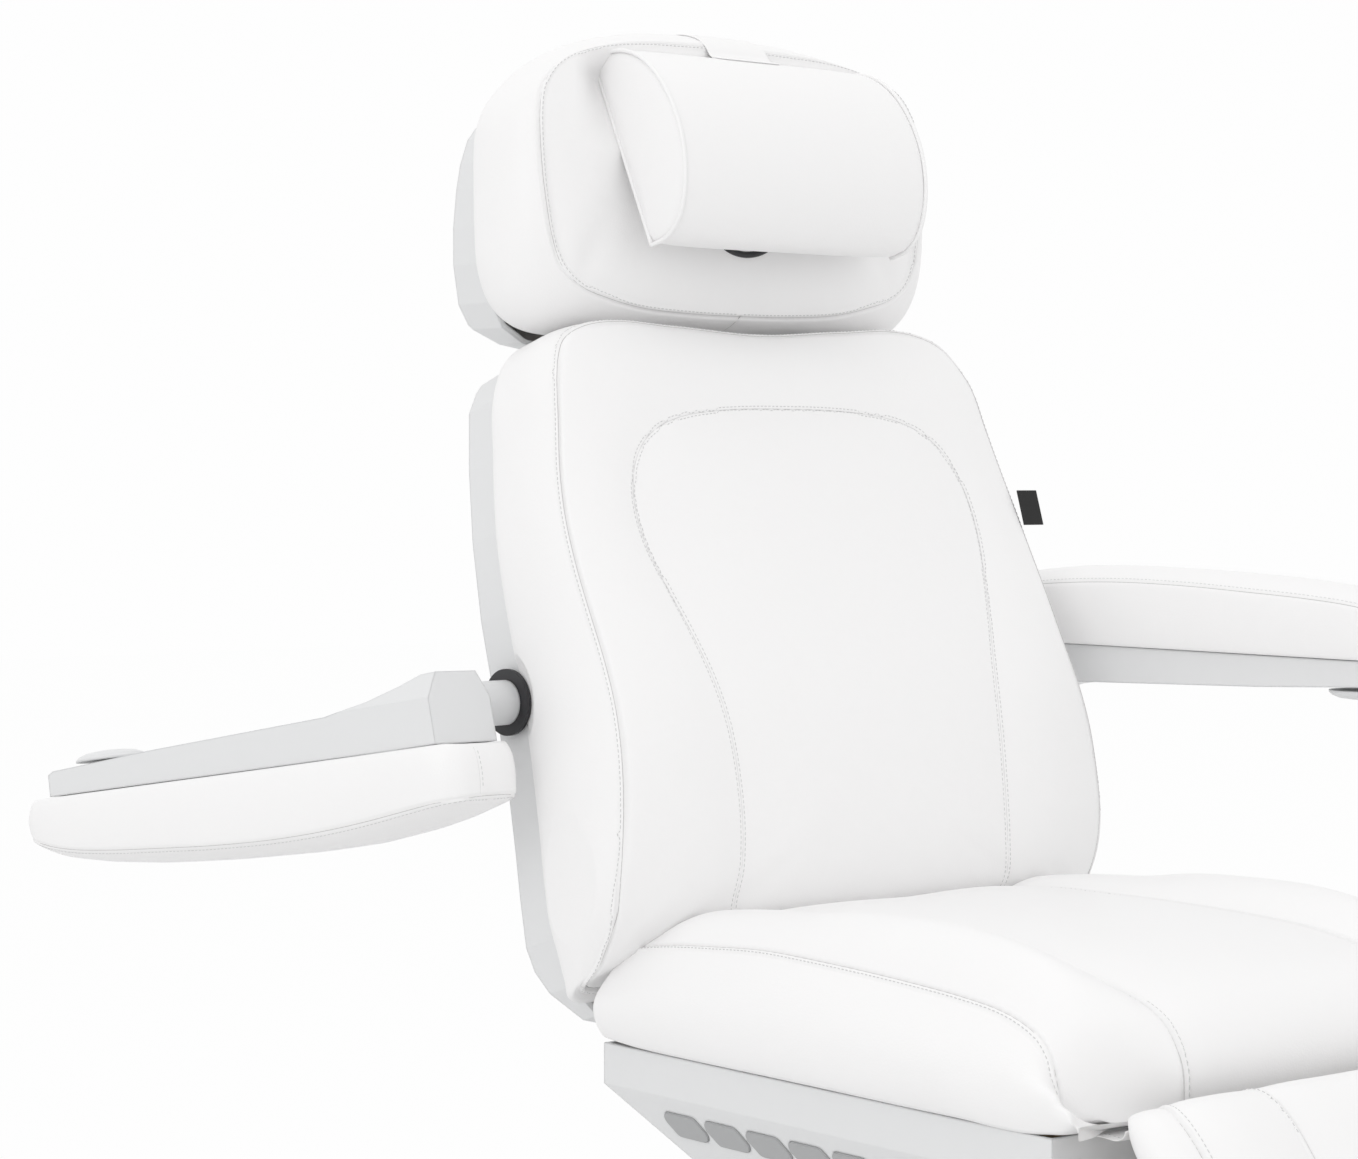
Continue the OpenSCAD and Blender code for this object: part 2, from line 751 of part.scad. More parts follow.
module seat_flap() {
    up0 = -seat_under - soft_gap;
    front = seat_len - seat_rear;
    lift = 8;
    color(vinyl)
        at_seat()
            plate([[housing_front + soft_gap, up0], [housing_front + soft_gap, up0 - flap_t], [front, up0 - flap_t],
                [front + lift * 0.6, up0 + lift * 0.1], [front + lift * 0.7, up0 + lift],
                [front + lift * 0.5, up0 + lift], [front + lift * 0.4, up0 + lift * 0.3], [front + soft_gap, up0]],
                -flap_half, flap_half);
}

// Buttons lie in the sloping lower side on the patient's right
slope_angle = atan(housing_slope_in / housing_drop);
button_first = 46;
button_down = 27;
button_lean_share = 0.28;
button_r = 7;
button_rise = 1.6;
button_board_gap = 14;
board_post_d = 4;

// Row axes: X runs forward along the row, Y up the slope and Z out of it
module buttons_row() {
    for (i = [0:button_n - 1])
        button_at(i)
            children();
}

module button_at(i) {
    zc = -seat_under - housing_band;
    translate([-housing_half_w, zc, button_first + i * button_pitch])
        rotate([slope_angle, -90, 0])
            translate([0, -button_down, 0])
                children();
}

module button_form(g, z0, z1) {
    w = button_w / 2 - button_r;
    h = button_h / 2 - button_r;
    k = button_lean_share * button_h / 2;
    translate([0, 0, z0])
        linear_extrude(z1 - z0)
            hull()
                for (sx = [-1, 1], sy = [-1, 1])
                    translate([sx * w - sy * k, sy * h])
                        circle(button_r + g, $fn = 24);
}

module button(i) {
    color("#8b8d90")
        at_seat()
            button_at(i)
                button_form(0, -button_board_gap + button_travel + run_gap, button_rise);
}

module button_1() {
    button(0);
}

module button_2() {
    button(1);
}

module button_3() {
    button(2);
}

module button_4() {
    button(3);
}

module button_5() {
    button(4);
}

module button_6() {
    button(5);
}

module button_7() {
    button(6);
}

module button_8() {
    button(7);
}

module button_board() {
    row = (button_n - 1) * button_pitch + button_w;
    color("#2f6b46")
        at_seat()
            button_at(0)
                block(-button_w / 2, row - button_w / 2, -button_h / 2, button_h / 2,
                    -button_board_gap - flap_t, -button_board_gap);
}

// Actuators under the seat: the tubes hang from the frame and the rods run level

module back_actuator() {
    color("#5a5d61")
        at_seat()
            translate([actuator_x, back_rod_up, back_body_front])
                mirror([0, 0, 1])
                    difference() {
                        cylinder(d = actuator_d, h = back_body_front - back_body_rear, $fn = fine);
                        translate([0, 0, rod_d])
                            cylinder(r = rod_d / 2 + shaft_gap, h = back_body_front, $fn = fine);
                    }
}

module back_rod() {
    tail = back_rod_fwd + back_rod_len;
    color("#c9cbcd")
        at_seat() {
            translate([actuator_x, back_rod_up, back_rod_fwd])
                cylinder(d = rod_d, h = tail - back_rod_fwd, $fn = fine);
            pin_x(2 * lever_pin_d, actuator_x - rod_d / 2, actuator_x + rod_d / 2, back_rod_up, back_rod_fwd);
            pin_x(lever_pin_d, actuator_x - rod_d / 2, actuator_x + rod_d / 2 + 2 * lever_t, back_rod_up, back_rod_fwd);
        }
}

module leg_actuator() {
    color("#5a5d61")
        at_seat()
            translate([-actuator_x, leg_rod_up, leg_body_rear])
                difference() {
                    cylinder(d = actuator_d, h = leg_body_front - leg_body_rear, $fn = fine);
                    translate([0, 0, rod_d])
                        cylinder(r = rod_d / 2 + shaft_gap, h = leg_body_front, $fn = fine);
                }
}

module leg_rod() {
    tail = leg_rod_fwd - leg_rod_len;
    color("#c9cbcd")
        at_seat() {
            translate([-actuator_x, leg_rod_up, tail])
                cylinder(d = rod_d, h = leg_rod_fwd - tail, $fn = fine);
            pin_x(2 * lever_pin_d, -actuator_x - rod_d / 2, rod_d / 2 - actuator_x, leg_rod_up, leg_rod_fwd);
            pin_x(lever_pin_d, -actuator_x - rod_d / 2 - 2 * lever_t, rod_d / 2 - actuator_x, leg_rod_up, leg_rod_fwd);
        }
}

module hinge_pins() {
    x0 = rail_x - hinge_lug_t;
    x1 = rail_x + run_gap + hinge_lug_t;
    color("#6d7074")
        at_seat()
            both_sides() {
                pin_x(hinge_pin_d, x0, x1, back_pin_up, back_pin_fwd);
                pin_x(hinge_pin_d, x0, x1, leg_pin_up, leg_pin_fwd);
                pin_x(tilt_pin_d, lug_x, lug_x + 2 * lug_t + run_gap, tilt_up, tilt_fwd);
            }
}

// Back: local axes are X, up along the back and out of its front. The origin is on the
// cushion's rear face beside the seat reference line.
back_ref_fwd = -101;

module at_back() {
    translate([0, seat_ref_y - back_ref_fwd, seat_ref_h])
        rotate([90 - back_lean, 0, 0])
            children();
}

// A place given forward and up of the reference line, in the back's axes
function back_out(fwd, up) = (fwd - back_ref_fwd) * cos(back_lean) + up * sin(back_lean);
function back_up(fwd, up) = up * cos(back_lean) - (fwd - back_ref_fwd) * sin(back_lean);
pin_n = back_out(back_pin_fwd, back_pin_up);
pin_h = back_up(back_pin_fwd, back_pin_up);
upright_x = 110;
upright_w = 30;
upright_t = 20;
upright_top = 468;
upright_low = 50;
back_tube_h = -40;
back_notch_h = -45;
frame_n = -board_t - soft_gap;
arm_pivot_h = 188.5;
arm_pivot_n = -14.5;
arm_pivot_x = 270;
axle_block = 40;
axle_reach = 60;
axle_out = 120;
washer_d = 58;
washer_t = 4;
washer_x = 1.5;
hub_d = 39;
post_x = 60;
post_n = -26;
post_low = 330;
guide_d = 20;
guide_h = 70;
guide_flange_d = 30;
guide_flange_t = 3;
head_pivot_h = 577;
back_shell_top = 496;
back_shell_low = 106;
lever_join = 30;

// A slotted lever hanging from a pivot at the local origin
module slotted_lever(x0, x1, drop, near, play, join) {
    r = lever_pin_d / 2 + play;
    difference() {
        union() {
            pin_x(2 * lever_eye + lever_t, x0, x1, -drop, 0);
            pin_x(2 * lever_eye + lever_t, x0, x1, -near, 0);
            block(x0, x1, -drop, join, -lever_eye - lever_t / 2, lever_eye + lever_t / 2);
        }
        pin_x(2 * r, x0 - cut, x1 + cut, -drop, 0);
        pin_x(2 * r, x0 - cut, x1 + cut, -near, 0);
        block(x0 - cut, x1 + cut, -drop, -near, -r, r);
    }
}

module back_frame() {
    lx = rail_x + run_gap;
    lever_x = actuator_x + rod_d / 2 + run_gap * 2;
    color(steel) {
        at_back() {
            both_sides() {
                block(upright_x, upright_x + upright_w, -upright_low, upright_top, frame_n - upright_t, frame_n);
                difference() {
                    back_lug(lx, lx + hinge_lug_t);
                    pin_x(hinge_pin_d + 2 * shaft_gap, lx - cut, lx + hinge_lug_t + cut, pin_h, pin_n);
                }
                block(upright_x, lx + hinge_lug_t, back_tube_h, back_tube_h + lever_join, frame_n - upright_t, frame_n);
                // axle block at the side of the frame
                difference() {
                    block(upright_x + upright_w - cut, arm_pivot_x - axle_block, arm_pivot_h - axle_block / 2,
                        arm_pivot_h + axle_block / 2, frame_n - upright_t - lever_t / 2, -soft_gap);
                    at_axle()
                        pin_x(axle_d, -arm_pivot_x, 0, 0, 0);
                }
                // bar for the headrest guides
                difference() {
                    block(post_x - upright_t, upright_x + cut, upright_top - upright_w, upright_top,
                        post_n - guide_d / 2 - soft_gap, frame_n);
                    translate([post_x, upright_top - upright_w - cut, post_n])
                        rotate([-90, 0, 0])
                            cylinder(d = guide_d, h = upright_w + 2 * cut, $fn = fine);
                }
            }
            block(-upright_x, upright_x, back_tube_h, back_tube_h + lever_join, frame_n - upright_t, frame_n);
            block(-upright_x, upright_x, arm_pivot_h - axle_block / 2, arm_pivot_h + axle_block / 2,
                frame_n - upright_t, frame_n);
            block(upright_t - post_x, post_x - upright_t, upright_top - upright_w, upright_top,
                frame_n - upright_t, frame_n);
        }
        // lever for the back actuator
        at_back()
            back_lug(lever_x, lever_x + lever_t);
        at_seat()
            translate([0, back_pin_up, back_pin_fwd])
                rotate([back_swing / 2, 0, 0])
                    slotted_lever(lever_x, lever_x + lever_t, back_rod_drop / cos(back_swing / 2), back_rod_drop,
                        back_slot_play, 0);
    }
}

// A plate from the lower cross tube out to the back's pin
module back_lug(x0, x1) {
    plate([[frame_n - upright_t, back_tube_h + lever_join], [frame_n, back_tube_h + lever_join],
        [frame_n, -back_below], [pin_n, pin_h + hinge_r], [pin_n, pin_h - hinge_r],
        [frame_n - upright_t, pin_h + hinge_r]], x0, x1);
    pin_x(2 * hinge_r, x0, x1, pin_h, pin_n);
}

module at_axle() {
    translate([arm_pivot_x, arm_pivot_h, arm_pivot_n])
        rotate([back_lean, 0, 0])
            rotate([0, -arm_yaw, 0])
                children();
}

// Outline of the back as shares of its half width and height, from the middle of the lower edge
back_outline_shares = [[0, 0], [0.4, 0], [0.75, 0.004], [0.895, 0.025], [0.968, 0.07], [1, 0.14], [0.99, 0.21],
    [0.976, 0.28], [0.96, 0.38], [0.954, 0.5], [0.951, 0.62], [0.93, 0.74], [0.895, 0.85], [0.855, 0.94],
    [0.8, 0.982], [0.72, 1.002], [0.5, 0.998], [0.25, 0.988], [0, 0.98]];
// The centre panel, as shares of its own half width and of the back's height
back_panel_shares = [[0, 0.04], [0.3, 0.04], [0.55, 0.042], [0.72, 0.045], [0.79, 0.06], [0.8, 0.1], [0.79, 0.14],
    [0.785, 0.2], [0.79, 0.28], [0.82, 0.4], [0.9, 0.5], [0.985, 0.61], [1, 0.7], [0.96, 0.77], [0.84, 0.83],
    [0.66, 0.86], [0.43, 0.872], [0.2, 0.876], [0, 0.876]];
// Depth at a height, both as shares
back_depth_shares = [[0, 0.28], [0.02, 0.5], [0.05, 0.64], [0.1, 0.77], [0.16, 0.88], [0.23, 0.95], [0.3, 0.99],
    [0.38, 1], [0.46, 0.97], [0.54, 0.915], [0.62, 0.86], [0.7, 0.815], [0.78, 0.785], [0.88, 0.77], [1, 0.74],
    [1.01, 0.735]];

function back_outline(w, grow) = [for (s = back_outline_shares)
    [s[0] * w + grow * min(1, s[0] * 2), s[1] * back_len - back_below
        + grow * (s[1] > 0.9 ? 1 : s[1] < 0.1 ? -1 : 0) * (s[0] < 0.9 ? 1 : 0.5)]];
function back_front(up, share) = back_depth * lookup((up + back_below) / back_len, back_depth_shares) * share;

module back_cushion() {
    outer = whole(back_outline(back_half_w, 0));
    edge = whole(back_outline(back_half_w, -back_bulge * 1.9));
    side_a = whole(back_outline(back_half_w, back_bulge * 0.1));
    side_b = whole(back_outline(back_half_w, back_bulge * 0.8));
    side_c = whole(back_outline(back_half_w, back_bulge * 0.75));
    panel = whole([for (s = back_panel_shares) [s[0] * back_panel_half, s[1] * back_len - back_below]]);
    count = len(outer);
    function ring(a, b, share, crown) = [for (k = [0:count - 1])
        let (p = between(a[k], b[k], share)) [p[0], p[1], back_front(p[1], 1) + crown]];
    function band(o, share) = [for (p = o) [p[0], p[1], back_front(p[1], share)]];
    loops = [
        [for (p = edge) [p[0], p[1], 0]],
        band(side_a, 0.14),
        band(side_b, 0.38),
        band(side_c, 0.75),
        ring(outer, outer, 0, 0),
        ring(outer, panel, 0.22, seam_dip),
        ring(outer, panel, 0.72, seam_dip * 1.4),
        ring(outer, panel, 1, -seam_dip / 2),
        ring(panel, panel * 0.86 + [for (p = panel) [0, back_len * 0.06]], 1, seam_dip),
        ring(panel, panel * 0.5 + [for (p = panel) [0, back_len * 0.19]], 1, seam_dip * 1.4)];
    color(vinyl)
        at_back()
            skin(loops);
}

// The shell's outside, drawn in by g: a bent strip as wide as the cushion
module back_shell_form(g, mouth) {
    d = back_shell_depth - g;
    top = back_shell_top - g;
    low = g - back_shell_low;
    in = back_shell_in + g;
    intersection() {
        plate([[mouth, low], [mouth, top], [d * 0.3 - d, top], [-d, top - d * 0.4], [-d, -back_shell_depth],
            [-d * 0.45, low + board_t], [-d * 0.3, low]], -back_half_w, back_half_w);
        translate([0, 0, -back_shell_depth - cut])
            linear_extrude(back_shell_depth + 2 * cut + mouth)
                polygon(whole([for (s = back_outline_shares)
                    [max(0, s[0] * back_half_w - (s[0] > 0 ? in : 0)),
                        s[1] * (back_shell_top + back_shell_low - 2 * g) - back_shell_low + g]]));
    }
}

module back_board() {
    color("#c8a878")
        at_back()
            difference() {
                translate([0, 0, frame_n + soft_gap])
                    linear_extrude(board_t - soft_gap)
                        polygon(whole([for (s = back_outline_shares)
                            [max(0, s[0] * back_half_w - (s[0] > 0 ? back_shell_in + 2 * housing_wall + soft_gap : 0)),
                                s[1] * (back_shell_top + back_below - 4 * housing_wall) - back_below + housing_wall]]));
                both_sides()
                    translate([post_x, back_shell_top, post_n])
                        rotate([90, 0, 0])
                            cylinder(d = guide_flange_d, h = guide_flange_t, $fn = fine);
                both_sides()
                    block(upright_x + upright_w - 2 * cut, back_half_w, arm_pivot_h - axle_block / 2 - soft_gap,
                        arm_pivot_h + axle_block / 2 + soft_gap, -back_shell_depth, cut);
            }
}

module back_shell() {
    color(shell_grey)
        at_back()
            difference() {
                back_shell_form(0, -soft_gap);
                back_shell_form(housing_wall, cut);
                // the lower lip opens for the hinge lugs and the lever
                block(-notch_half, notch_half, -back_shell_low - cut, back_notch_h, -back_shell_depth - cut, cut);
                both_sides() {
                    translate([post_x, back_shell_top - 2 * back_shell_depth, post_n])
                        rotate([-90, 0, 0])
                            cylinder(d = guide_d + 2 * run_gap, h = 4 * back_shell_depth, $fn = fine);
                    at_axle()
                        pin_x(axle_d + washer_t / 2, -axle_block, axle_block, 0, 0);
                }
            }
}

tag_w = 26;
tag_h = 34;
tag_t = 1;
tag_up = 306;

module side_tag() {
    x = back_half_w * lookup((tag_up + tag_h / 2 + back_below) / back_len, [for (s = back_outline_shares) if (s[0] > 0.9)
        [s[1], s[0]]]);
    n = back_front(tag_up, 1);
    color("#141414")
        at_back()
            block(x + soft_gap, x + tag_w, tag_up, tag_up + tag_h, n, n + tag_t);
}

module arm_axles() {
    color("#b9bcbf")
        at_back()
            both_sides()
                at_axle()
                    pin_x(axle_d, -axle_reach, axle_out, 0, 0);
}

module arm_washers() {
    color("#1b1b1c")
        at_back()
            both_sides()
                at_axle()
                    difference() {
                        pin_x(washer_d, washer_x, washer_x + washer_t, 0, 0);
                        pin_x(axle_d, washer_x - cut, washer_x + washer_t + cut, 0, 0);
                    }
}

module post_guides() {
    color("#2c2d2f")
        at_back()
            both_sides()
                translate([post_x, back_shell_top, post_n])
                    rotate([-90, 0, 0])
                        difference() {
                            union() {
                                translate([0, 0, -guide_h])
                                    cylinder(d = guide_d, h = guide_h, $fn = fine);
                                translate([0, 0, run_gap])
                                    cylinder(d = guide_flange_d, h = guide_flange_t, $fn = fine);
                                cylinder(d = guide_d, h = guide_flange_t, $fn = fine);
                            }
                            translate([0, 0, -guide_h - cut])
                                cylinder(d = post_d + 2 * shaft_gap, h = guide_h + guide_flange_t + 2 * cut, $fn = fine);
                        }
}

// Headrest: local axes are X, up and forward, with the origin on the middle of the cushion's
// lower rear edge
head_at_h = 523;
head_at_n = -10.6;

module at_head() {
    at_back()
        translate([0, head_at_h, head_at_n])
            rotate([back_lean, 0, 0])
                children();
}

function head_fwd(h, n) = (n - head_at_n) * cos(back_lean) - (h - head_at_h) * sin(back_lean);
function head_up(h, n) = (n - head_at_n) * sin(back_lean) + (h - head_at_h) * cos(back_lean);
bar_fwd = head_fwd(head_pivot_h, post_n);
bar_up = head_up(head_pivot_h, post_n);
head_shell_depth = 50;
head_shell_low = -13;
head_shell_top = 222;
head_lip = 27;
head_lug_x = 26;
head_lug_t = 12;
head_lug_r = 11;
head_plate_t = 4;

module head_posts() {
    color("#b9bcbf")
        at_back() {
            pin_x(post_d, -post_x, post_x, head_pivot_h, post_n);
            both_sides() {
                translate([post_x, post_low, post_n])
                    rotate([-90, 0, 0])
                        cylinder(d = post_d, h = head_pivot_h - post_low, $fn = fine);
                translate([post_x, head_pivot_h, post_n])
                    sphere(d = post_d, $fn = fine);
            }
        }
}

module head_bracket() {
    color(steel)
        at_head()
            difference() {
                union() {
                    block(-post_x, post_x, bar_up - head_lug_r * 2, bar_up + head_lug_r * 3,
                        frame_n - head_plate_t, frame_n);
                    both_sides() {
                        pin_x(2 * head_lug_r, head_lug_x, head_lug_x + head_lug_t, bar_up, bar_fwd);
                        block(head_lug_x, head_lug_x + head_lug_t, bar_up - head_lug_r, bar_up + head_lug_r,
                            bar_fwd, frame_n - head_plate_t / 2);
                    }
                }
                pin_x(post_d + 2 * shaft_gap, -post_x - cut, post_x + cut, bar_up, bar_fwd);
            }
}

head_outline_shares = [[0, 0.075], [0.26, 0.08], [0.52, 0.093], [0.7, 0.11], [0.82, 0.13], [0.917, 0.18], [0.975, 0.265],
    [1, 0.4], [1, 0.53], [0.985, 0.66], [0.965, 0.75], [0.93, 0.835], [0.86, 0.91], [0.77, 0.95], [0.65, 0.98],
    [0.5, 0.995], [0.25, 1], [0, 1]];
head_bulge = 9;

function head_outline(grow) = [for (s = head_outline_shares)
    [s[0] * head_half_w + grow * min(1, s[0] * 1.5), s[1] * head_h
        + grow * (s[1] > 0.85 ? 1 : s[1] < 0.2 ? -2.2 : 0) * (s[0] < 0.9 ? 1 : 0.7)]];

module head_form() {
    outer = whole(head_outline(0));
    count = len(outer);
    middle = [0, head_h * 0.53];
    function shrunk(share, fwd) = [for (p = outer)
        [p[0] * share, middle[1] + (p[1] - middle[1]) * share, fwd]];
    function seam(o) = [for (p = o) [p[0], p[1], head_depth + (0.5 - p[1] / head_h) * head_crown]];
    skin([
        loop_at(whole(head_outline(-head_bulge * 1.6)), 0),
        loop_at(whole(head_outline(head_bulge * 0.3)), head_depth * 0.16),
        loop_at(whole(head_outline(head_bulge)), head_depth * 0.45),
        loop_at(whole(head_outline(head_bulge * 0.8)), head_depth * 0.75),
        seam(outer),
        shrunk(0.93, head_depth + head_crown * 0.5),
        shrunk(0.7, head_depth + head_crown * 0.9),
        shrunk(0.4, head_depth + head_crown)]);
}

module face_bore(g, f0, f1) {
    translate([0, head_h / 2, f0])
        cylinder(d = face_d + 2 * g, h = f1 - f0, $fn = fine);
}

module head_cushion() {
    color(vinyl)
        at_head()
            difference() {
                head_form();
                face_bore(0, -cut, head_depth * 2);
                pillow_seat();
            }
}

// The flat that the pillow presses into the face
module pillow_seat() {
    translate([0, pillow_up, pillow_fwd])
        rotate([-pillow_lean, 0, 0])
            block(-pillow_len, pillow_len, -pillow_h, 2 * pillow_h, -2 * soft_gap, pillow_t);
}

module face_plug() {
    color(vinyl)
        at_head()
            difference() {
                face_bore(-soft_gap, soft_gap, head_depth + head_crown / 2);
                pillow_seat();
            }
}

// The pillow's end as shares of its height and thickness, up its flat back
pillow_shares = [[0, 0], [-0.02, 0.28], [0.007, 0.51], [0.1, 0.74], [0.24, 0.91], [0.4, 0.99], [0.58, 0.97],
    [0.77, 0.83], [0.895, 0.62], [0.975, 0.35], [1.005, 0.14], [1, 0], [0.75, 0], [0.5, 0], [0.25, 0]];
pillow_lean = 27;
pillow_fwd = 131;
pillow_up = 75;

module pillow_form(g) {
    half = pillow_len / 2;
    // along: place as a share of the half length, and size
    ends = [[-1, 0.9], [-0.98, 0.97], [-0.93, 1], [-0.5, 1.01], [0.5, 1.01], [0.93, 1], [0.98, 0.97], [1, 0.9]];
    c = [0.5, 0.45];
    translate([0, pillow_up, pillow_fwd])
        rotate([-pillow_lean, 0, 0])
            rotate([0, 90, 0])
                skin([for (e = ends) [for (p = pillow_shares)
                    [-(c[1] + (p[1] - c[1]) * e[1]) * pillow_t - g * (p[1] > 0.2 ? 1 : p[1] < 0.1 ? -1 : 0),
                        (c[0] + (p[0] - c[0]) * e[1]) * pillow_h + g * (p[0] > 0.5 ? 1 : -1),
                        e[0] * (half + g)]]]);
}

module neck_pillow() {
    color(vinyl)
        at_head()
            pillow_form(0);
}

strap_w = 72;
strap_t = 2.5;

module pillow_strap() {
    // over the top of the cushion, outer run then inner run
    top = head_h + head_bulge + soft_gap;
    color(vinyl)
        at_head()
            plate([[head_depth + strap_t * 2, head_h - head_bulge], [head_depth + strap_t * 2, head_h + strap_t],
                [head_depth * 0.78, top + strap_t], [head_depth * 0.4, top + strap_t * 1.4],
                [head_depth * 0.1, top - strap_t * 0.4], [-soft_gap - strap_t, top - strap_t * 8],
                [-soft_gap, top - strap_t * 8.4],
                [head_depth * 0.13, top - strap_t * 1.8], [head_depth * 0.4, top],
                [head_depth * 0.76, top - strap_t * 0.4],
                [head_depth + strap_t, head_h + strap_t / 4], [head_depth + strap_t, head_h - head_bulge]],
                -strap_w / 2, strap_w / 2);
}

module head_board() {
    color("#c8a878")
        at_head()
            translate([0, 0, frame_n + soft_gap])
                linear_extrude(board_t - soft_gap)
                    polygon(whole([for (s = head_outline_shares)
                        [s[0] * (head_half_w - 6 * housing_wall), between(head_shell_low, head_shell_top, s[1])
                            + (s[1] > 0.5 ? -2 : 2) * housing_wall]]));
}

module head_shell_form(g, mouth) {
    d = head_shell_depth - g;
    intersection() {
        plate([[mouth, head_shell_low + g], [mouth, head_shell_top - g], [-d * 0.6, head_shell_top - g],
            [-d, head_shell_top - g - d / 2], [-d, head_shell_low + g + d / 2], [-d * 0.6, head_shell_low + g]],
            -head_half_w, head_half_w);
        translate([0, 0, -head_shell_depth - cut])
            linear_extrude(head_shell_depth + 2 * cut + mouth)
                polygon(whole([for (s = head_outline_shares)
                    [s[0] * (head_half_w - 3 * housing_wall - g), between(head_shell_low - head_lip, head_shell_top, s[1])
                        + (s[1] > 0.5 ? -g : g)]]));
    }
}

module head_shell() {
    slot_x = post_x + post_d;
    color(shell_grey)
        at_head()
            difference() {
                head_shell_form(0, -soft_gap);
                head_shell_form(housing_wall, cut);
                // the posts swing through this slot as the headrest tips
                block(-slot_x, slot_x, head_shell_low - cut, bar_up - head_lug_r, -head_shell_depth - cut, cut);
            }
}

// Arms: local axes are outward, up and forward along the arm, from the pivot
module at_arm(side, swing) {
    at_back()
        mirror([side < 0 ? 1 : 0, 0, 0])
            at_axle()
                rotate([-swing, 0, 0])
                    rotate([0, arm_yaw + arm_splay, 0])
                        children();
}

// Underside of the casing as places along the arm and heights, both as shares
casing_shares = [[-0.057, -0.43], [-0.02, -0.42], [0.028, -0.3], [0.105, -0.15], [0.21, -0.03], [0.7, 0.04], [0.985, 0.12],
    [1, 0.17]];
casing_seat = 35;
casing_len = 434;
casing_chamfer = 14;
knob_s = 392;
knob_h = 9;
knob_seat = 2;
knob_stem_d = 12;
knob_stem = 14;

module casing_form(g) {
    low = [for (s = casing_shares) [s[0] * casing_len + (s[0] < 0 ? g : s[0] > 0.9 ? -g : 0), s[1] * casing_h + g]];
    intersection() {
        plate(concat(low, [[casing_len - g, casing_seat * 0.85 + (g > 0 ? cut : 0)],
            [casing_len * 0.4, casing_seat * 0.95 + (g > 0 ? cut : 0)], [casing_len * 0.05, casing_seat + (g > 0 ? cut : 0)],
            [-0.066 * casing_len + g, casing_seat + (g > 0 ? cut : 0)]]),
            arm_out - casing_w / 2 + g, arm_out + casing_w / 2 - g);
        translate([arm_out, 0, -casing_len])
            linear_extrude(3 * casing_len)
                polygon([[g - casing_w / 2, casing_h], [g - casing_w / 2, casing_chamfer - casing_h * 0.3],
                    [casing_chamfer + g - casing_w / 2, g - casing_h * 0.43],
                    [casing_w / 2 - g - casing_chamfer, g - casing_h * 0.43],
                    [casing_w / 2 - g, casing_chamfer - casing_h * 0.3], [casing_w / 2 - g, casing_h]]);
    }
}

module casing(side, swing) {
    hub_x = washer_x + washer_t + run_gap;
    color("#e2e3e4")
        at_arm(side, swing)
            difference() {
                union() {
                    difference() {
                        casing_form(0);
                        casing_form(housing_wall);
                    }
                    intersection() {
                        casing_form(0);
                        rotate([0, -arm_yaw - arm_splay, 0])
                            pin_x(hub_d, 0, 2 * arm_out, 0, 0);
                    }
                    intersection() {
                        casing_form(0);
                        translate([arm_out, casing_seat - run_gap, knob_s])
                            rotate([90, 0, 0])
                                cylinder(d = 2 * knob_stem_d, h = casing_h, $fn = fine);
                    }
                    intersection() {
                        rotate([0, -arm_yaw - arm_splay, 0])
                            pin_x(hub_d, hub_x, arm_out, 0, 0);
                        block(-cut, arm_out - casing_w / 2 + housing_wall, -casing_h, casing_h, -casing_h, casing_h);
                    }
                }
                rotate([0, -arm_yaw - arm_splay, 0])
                    pin_x(axle_d + 2 * shaft_gap, 0, axle_out + cut, 0, 0);
                translate([arm_out, knob_seat + knob_stem + run_gap, knob_s])
                    rotate([90, 0, 0])
                        cylinder(d = knob_stem_d + 2 * shaft_gap, h = casing_h, $fn = fine);
            }
}

module knob(side, swing) {
    color("#e2e3e4")
        at_arm(side, swing)
            translate([arm_out, knob_seat, knob_s])
                rotate([90, 0, 0])
                    rotate_extrude($fn = fine)
                        polygon([[0, -knob_stem], [knob_stem_d / 2, -knob_stem], [knob_stem_d / 2, 0],
                            [knob_d / 2, 0], [knob_d / 2, knob_h * 0.2], [knob_d * 0.46, knob_h * 0.5],
                            [knob_d * 0.36, knob_h * 0.8], [knob_d * 0.2, knob_h * 0.96], [0, knob_h]]);
}

// Pad sections: place along the arm, width, seat height, seam height and crown height as shares
pad_shares = [[0, 0.62, 0.18, 0.42, 0.5], [0.012, 0.8, 0.08, 0.5, 0.68], [0.045, 0.93, 0, 0.55, 0.86], [0.1, 0.99, 0, 0.62, 0.93],
    [0.2, 1, 0, 0.74, 0.98], [0.33, 1, 0, 0.8, 1], [0.48, 1, 0, 0.79, 1], [0.62, 0.99, 0, 0.74, 0.97],
    [0.76, 0.97, 0, 0.65, 0.91], [0.87, 0.94, 0, 0.56, 0.83], [0.94, 0.88, 0, 0.47, 0.7], [0.98, 0.76, 0, 0.38, 0.54],
    [1, 0.6, 0.08, 0.27, 0.34]];

module pad(side, swing) {
    half = pad_w / 2;
    long = pad_front + pad_rear;
    base = casing_seat + soft_gap;
    // across: width share and a share of the way from the seat to the seam, or from the seam to the crown
    low = [[0, 0], [0.55, 0], [0.86, 0], [0.98, 0.2], [1.02, 0.6], [1, 1]];
    high = [[0.94, 0.34], [0.78, 0.7], [0.5, 0.92], [0.2, 1], [0, 1]];
    loops = [for (s = pad_shares)
        let (z0 = s[2] * pad_h, z1 = s[3] * pad_h, z2 = s[4] * pad_h)
        [for (p = whole(concat([for (q = low) [q[0] * half * s[1], between(z0, z1, q[1])]],
            [for (q = high) [q[0] * half * s[1], between(z1, z2, q[1])]])))
            [arm_out + p[0], base + p[1], s[0] * long - pad_rear]]];
    color(vinyl)
        at_arm(side, swing)
            skin(loops);
}

module right_casing() {
    casing(-1, right_arm_angle);
}

